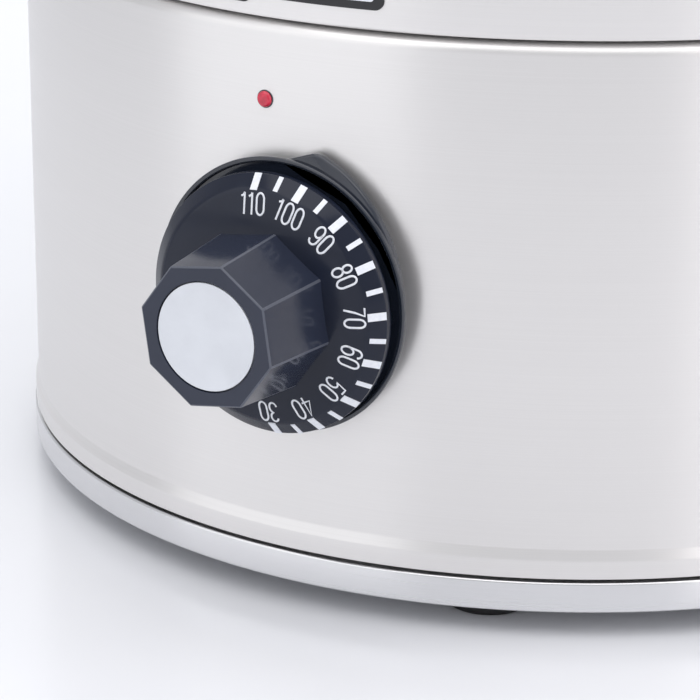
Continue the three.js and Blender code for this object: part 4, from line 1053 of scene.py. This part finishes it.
def make_plates():
    """A blank bordered triangle and a blank dark plate, both bent round the wall."""
    thickness = 0.5 * MM
    print_height = 0.05 * MM
    sign_place = wall_frame(SIGN_AZIMUTH, SEAM_LEVEL + SIGN_LIFT, PLATE_SEAT)
    border = wrapped(triangle(SIGN_SIDE, 2.4 * MM), thickness)
    piece("sign_border", border, BLACK_PLASTIC, "base", sign_place, ["blank_sign"])
    face_side = SIGN_SIDE - 2 * math.sqrt(3) * SIGN_BORDER
    face = wrapped(triangle(face_side, 1 * MM, lift=SIGN_BORDER), thickness + print_height)
    piece("sign_face", face, WHITE_PRINT, "base", sign_place)
    half = PLATE_WIDTH / 2
    corners = [(-half, 0), (half, 0), (half, PLATE_HEIGHT), (-half, PLATE_HEIGHT)]
    plate_place = wall_frame(PLATE_AZIMUTH, SEAM_LEVEL + PLATE_LIFT, PLATE_SEAT)
    plate = wrapped([(*corner, 2 * MM) for corner in corners], thickness)
    piece("dark_plate", plate, BLACK_PLASTIC, "base", plate_place, ["blank_plate"])


# ---- small bodies whose edges are only softened ----
EDGE_RADII = {
    "inlet_body": 0.7 * MM, "switch_frame": 0.7 * MM, "switch_rocker": 0.4 * MM, "terminal_block": 0.6 * MM,
    "thermostat_body": 0.6 * MM, "motor_can": 0.8 * MM, "thermal_cutout": 0.4 * MM,
}
FLAT_ANGLE = math.radians(2)
SHARP_ANGLE = math.radians(40)


def soften_nodes():
    """Copies of the blocky bodies with rounded edges."""
    record = frame["record"]
    slots = {part["node"]: part["material_slot"] for part in record["subparts"]}
    bodies = {node: body for body, nodes in record["behaviour"]["bodies"].items() for node in nodes}
    for node, radius in EDGE_RADII.items():
        mesh = bmesh.new()
        mesh.from_mesh(frame["nodes"][node].data)
        bmesh.ops.remove_doubles(mesh, verts=mesh.verts, dist=MERGE_DISTANCE)
        bmesh.ops.dissolve_limit(mesh, angle_limit=FLAT_ANGLE, verts=mesh.verts, edges=mesh.edges)
        sharp = [edge for edge in mesh.edges if edge.calc_face_angle(0) > SHARP_ANGLE]
        soften(mesh, sharp, radius)
        slot = slots[node]
        piece(f"{node}_moulded", mesh, NODE_FINISHES[slot], bodies[node], replaced=[node])


# ---- stage ----
FLOOR_REACH = 8  # metres from the middle to each side


def make_stage():
    """The plain floor."""
    mesh = bmesh.new()
    bmesh.ops.create_grid(mesh, x_segments=1, y_segments=1, size=FLOOR_REACH)
    data = bpy.data.meshes.new("floor")
    mesh.to_mesh(data)
    mesh.free()
    data.materials.append(stone_floor())
    floor = bpy.data.objects.new("floor", data)
    bpy.context.scene.collection.objects.link(floor)


def add_light(name, place, target, size, power, tint):
    """A soft rectangular light that faces a target."""
    lamp = bpy.data.lights.new(name, "AREA")
    lamp.shape = "RECTANGLE"
    lamp.size, lamp.size_y = size
    lamp.energy = power
    lamp.color = tint
    holder = bpy.data.objects.new(name, lamp)
    holder.location = place
    holder.rotation_euler = (Vector(target) - Vector(place)).to_track_quat("-Z", "Y").to_euler()
    bpy.context.scene.collection.objects.link(holder)


def light_studio():
    """One broad light from above, one from each side, one behind, and a pale surround."""
    middle = (AXIS.x, AXIS.y, 0.1)
    add_light("overhead", (0.1, -0.2, 1.9), middle, (2.8, 2.8), 36, (1.0, 0.985, 0.98))
    add_light("left_window", (-1.0, -1.75, 0.9), middle, (2.2, 1.8), 9, (0.98, 0.985, 1.0))
    add_light("right_fill", (1.95, -0.5, 0.7), middle, (1.6, 1.4), 9, (1.0, 0.955, 0.96))
    add_light("backdrop", (-0.9, 2.0, 0.8), middle, (2.4, 1.6), 6, (0.95, 0.97, 1.0))
    world = bpy.data.worlds.new("studio")
    world.use_nodes = True
    background = world.node_tree.nodes["Background"]
    background.inputs["Color"].default_value = (0.94, 0.955, 1.0, 1)
    background.inputs["Strength"].default_value = 0.6
    scene = bpy.context.scene
    scene.world = world
    scene.view_settings.view_transform = "Standard"


def set_camera():
    """The camera, which stands on a circle about the axis and looks down at the drum's foot."""
    lens = bpy.data.cameras.new("camera")
    lens.sensor_width = 36
    lens.lens = CAMERA_LENS
    lens.clip_start = 0.05
    holder = bpy.data.objects.new("camera", lens)
    heading = CAMERA_AZIMUTH - CAMERA_PAN
    forward = Vector((
        -math.sin(heading) * math.cos(CAMERA_TILT),
        math.cos(heading) * math.cos(CAMERA_TILT),
        -math.sin(CAMERA_TILT),
    ))
    out = Vector((math.sin(CAMERA_AZIMUTH), -math.cos(CAMERA_AZIMUTH), 0)) * CAMERA_DISTANCE
    level = forward.to_track_quat("-Z", "Y").to_matrix().to_4x4()
    roll = Matrix.Rotation(CAMERA_ROLL, 4, "Z")
    holder.matrix_world = Matrix.Translation(AXIS + out + Vector((0, 0, CAMERA_HEIGHT))) @ level @ roll
    bpy.context.scene.collection.objects.link(holder)
    bpy.context.scene.camera = holder


set_camera()
finish_nodes()
make_drum()
make_pan()
make_feet()
make_skirt()
make_grip()
make_cap()
make_markings()
make_bezel()
make_lamp()
make_heater_ring()
make_plates()
make_guard()
make_trays()
make_lid()
make_shutter()
make_lid_knob()
soften_nodes()
make_stage()
light_studio()
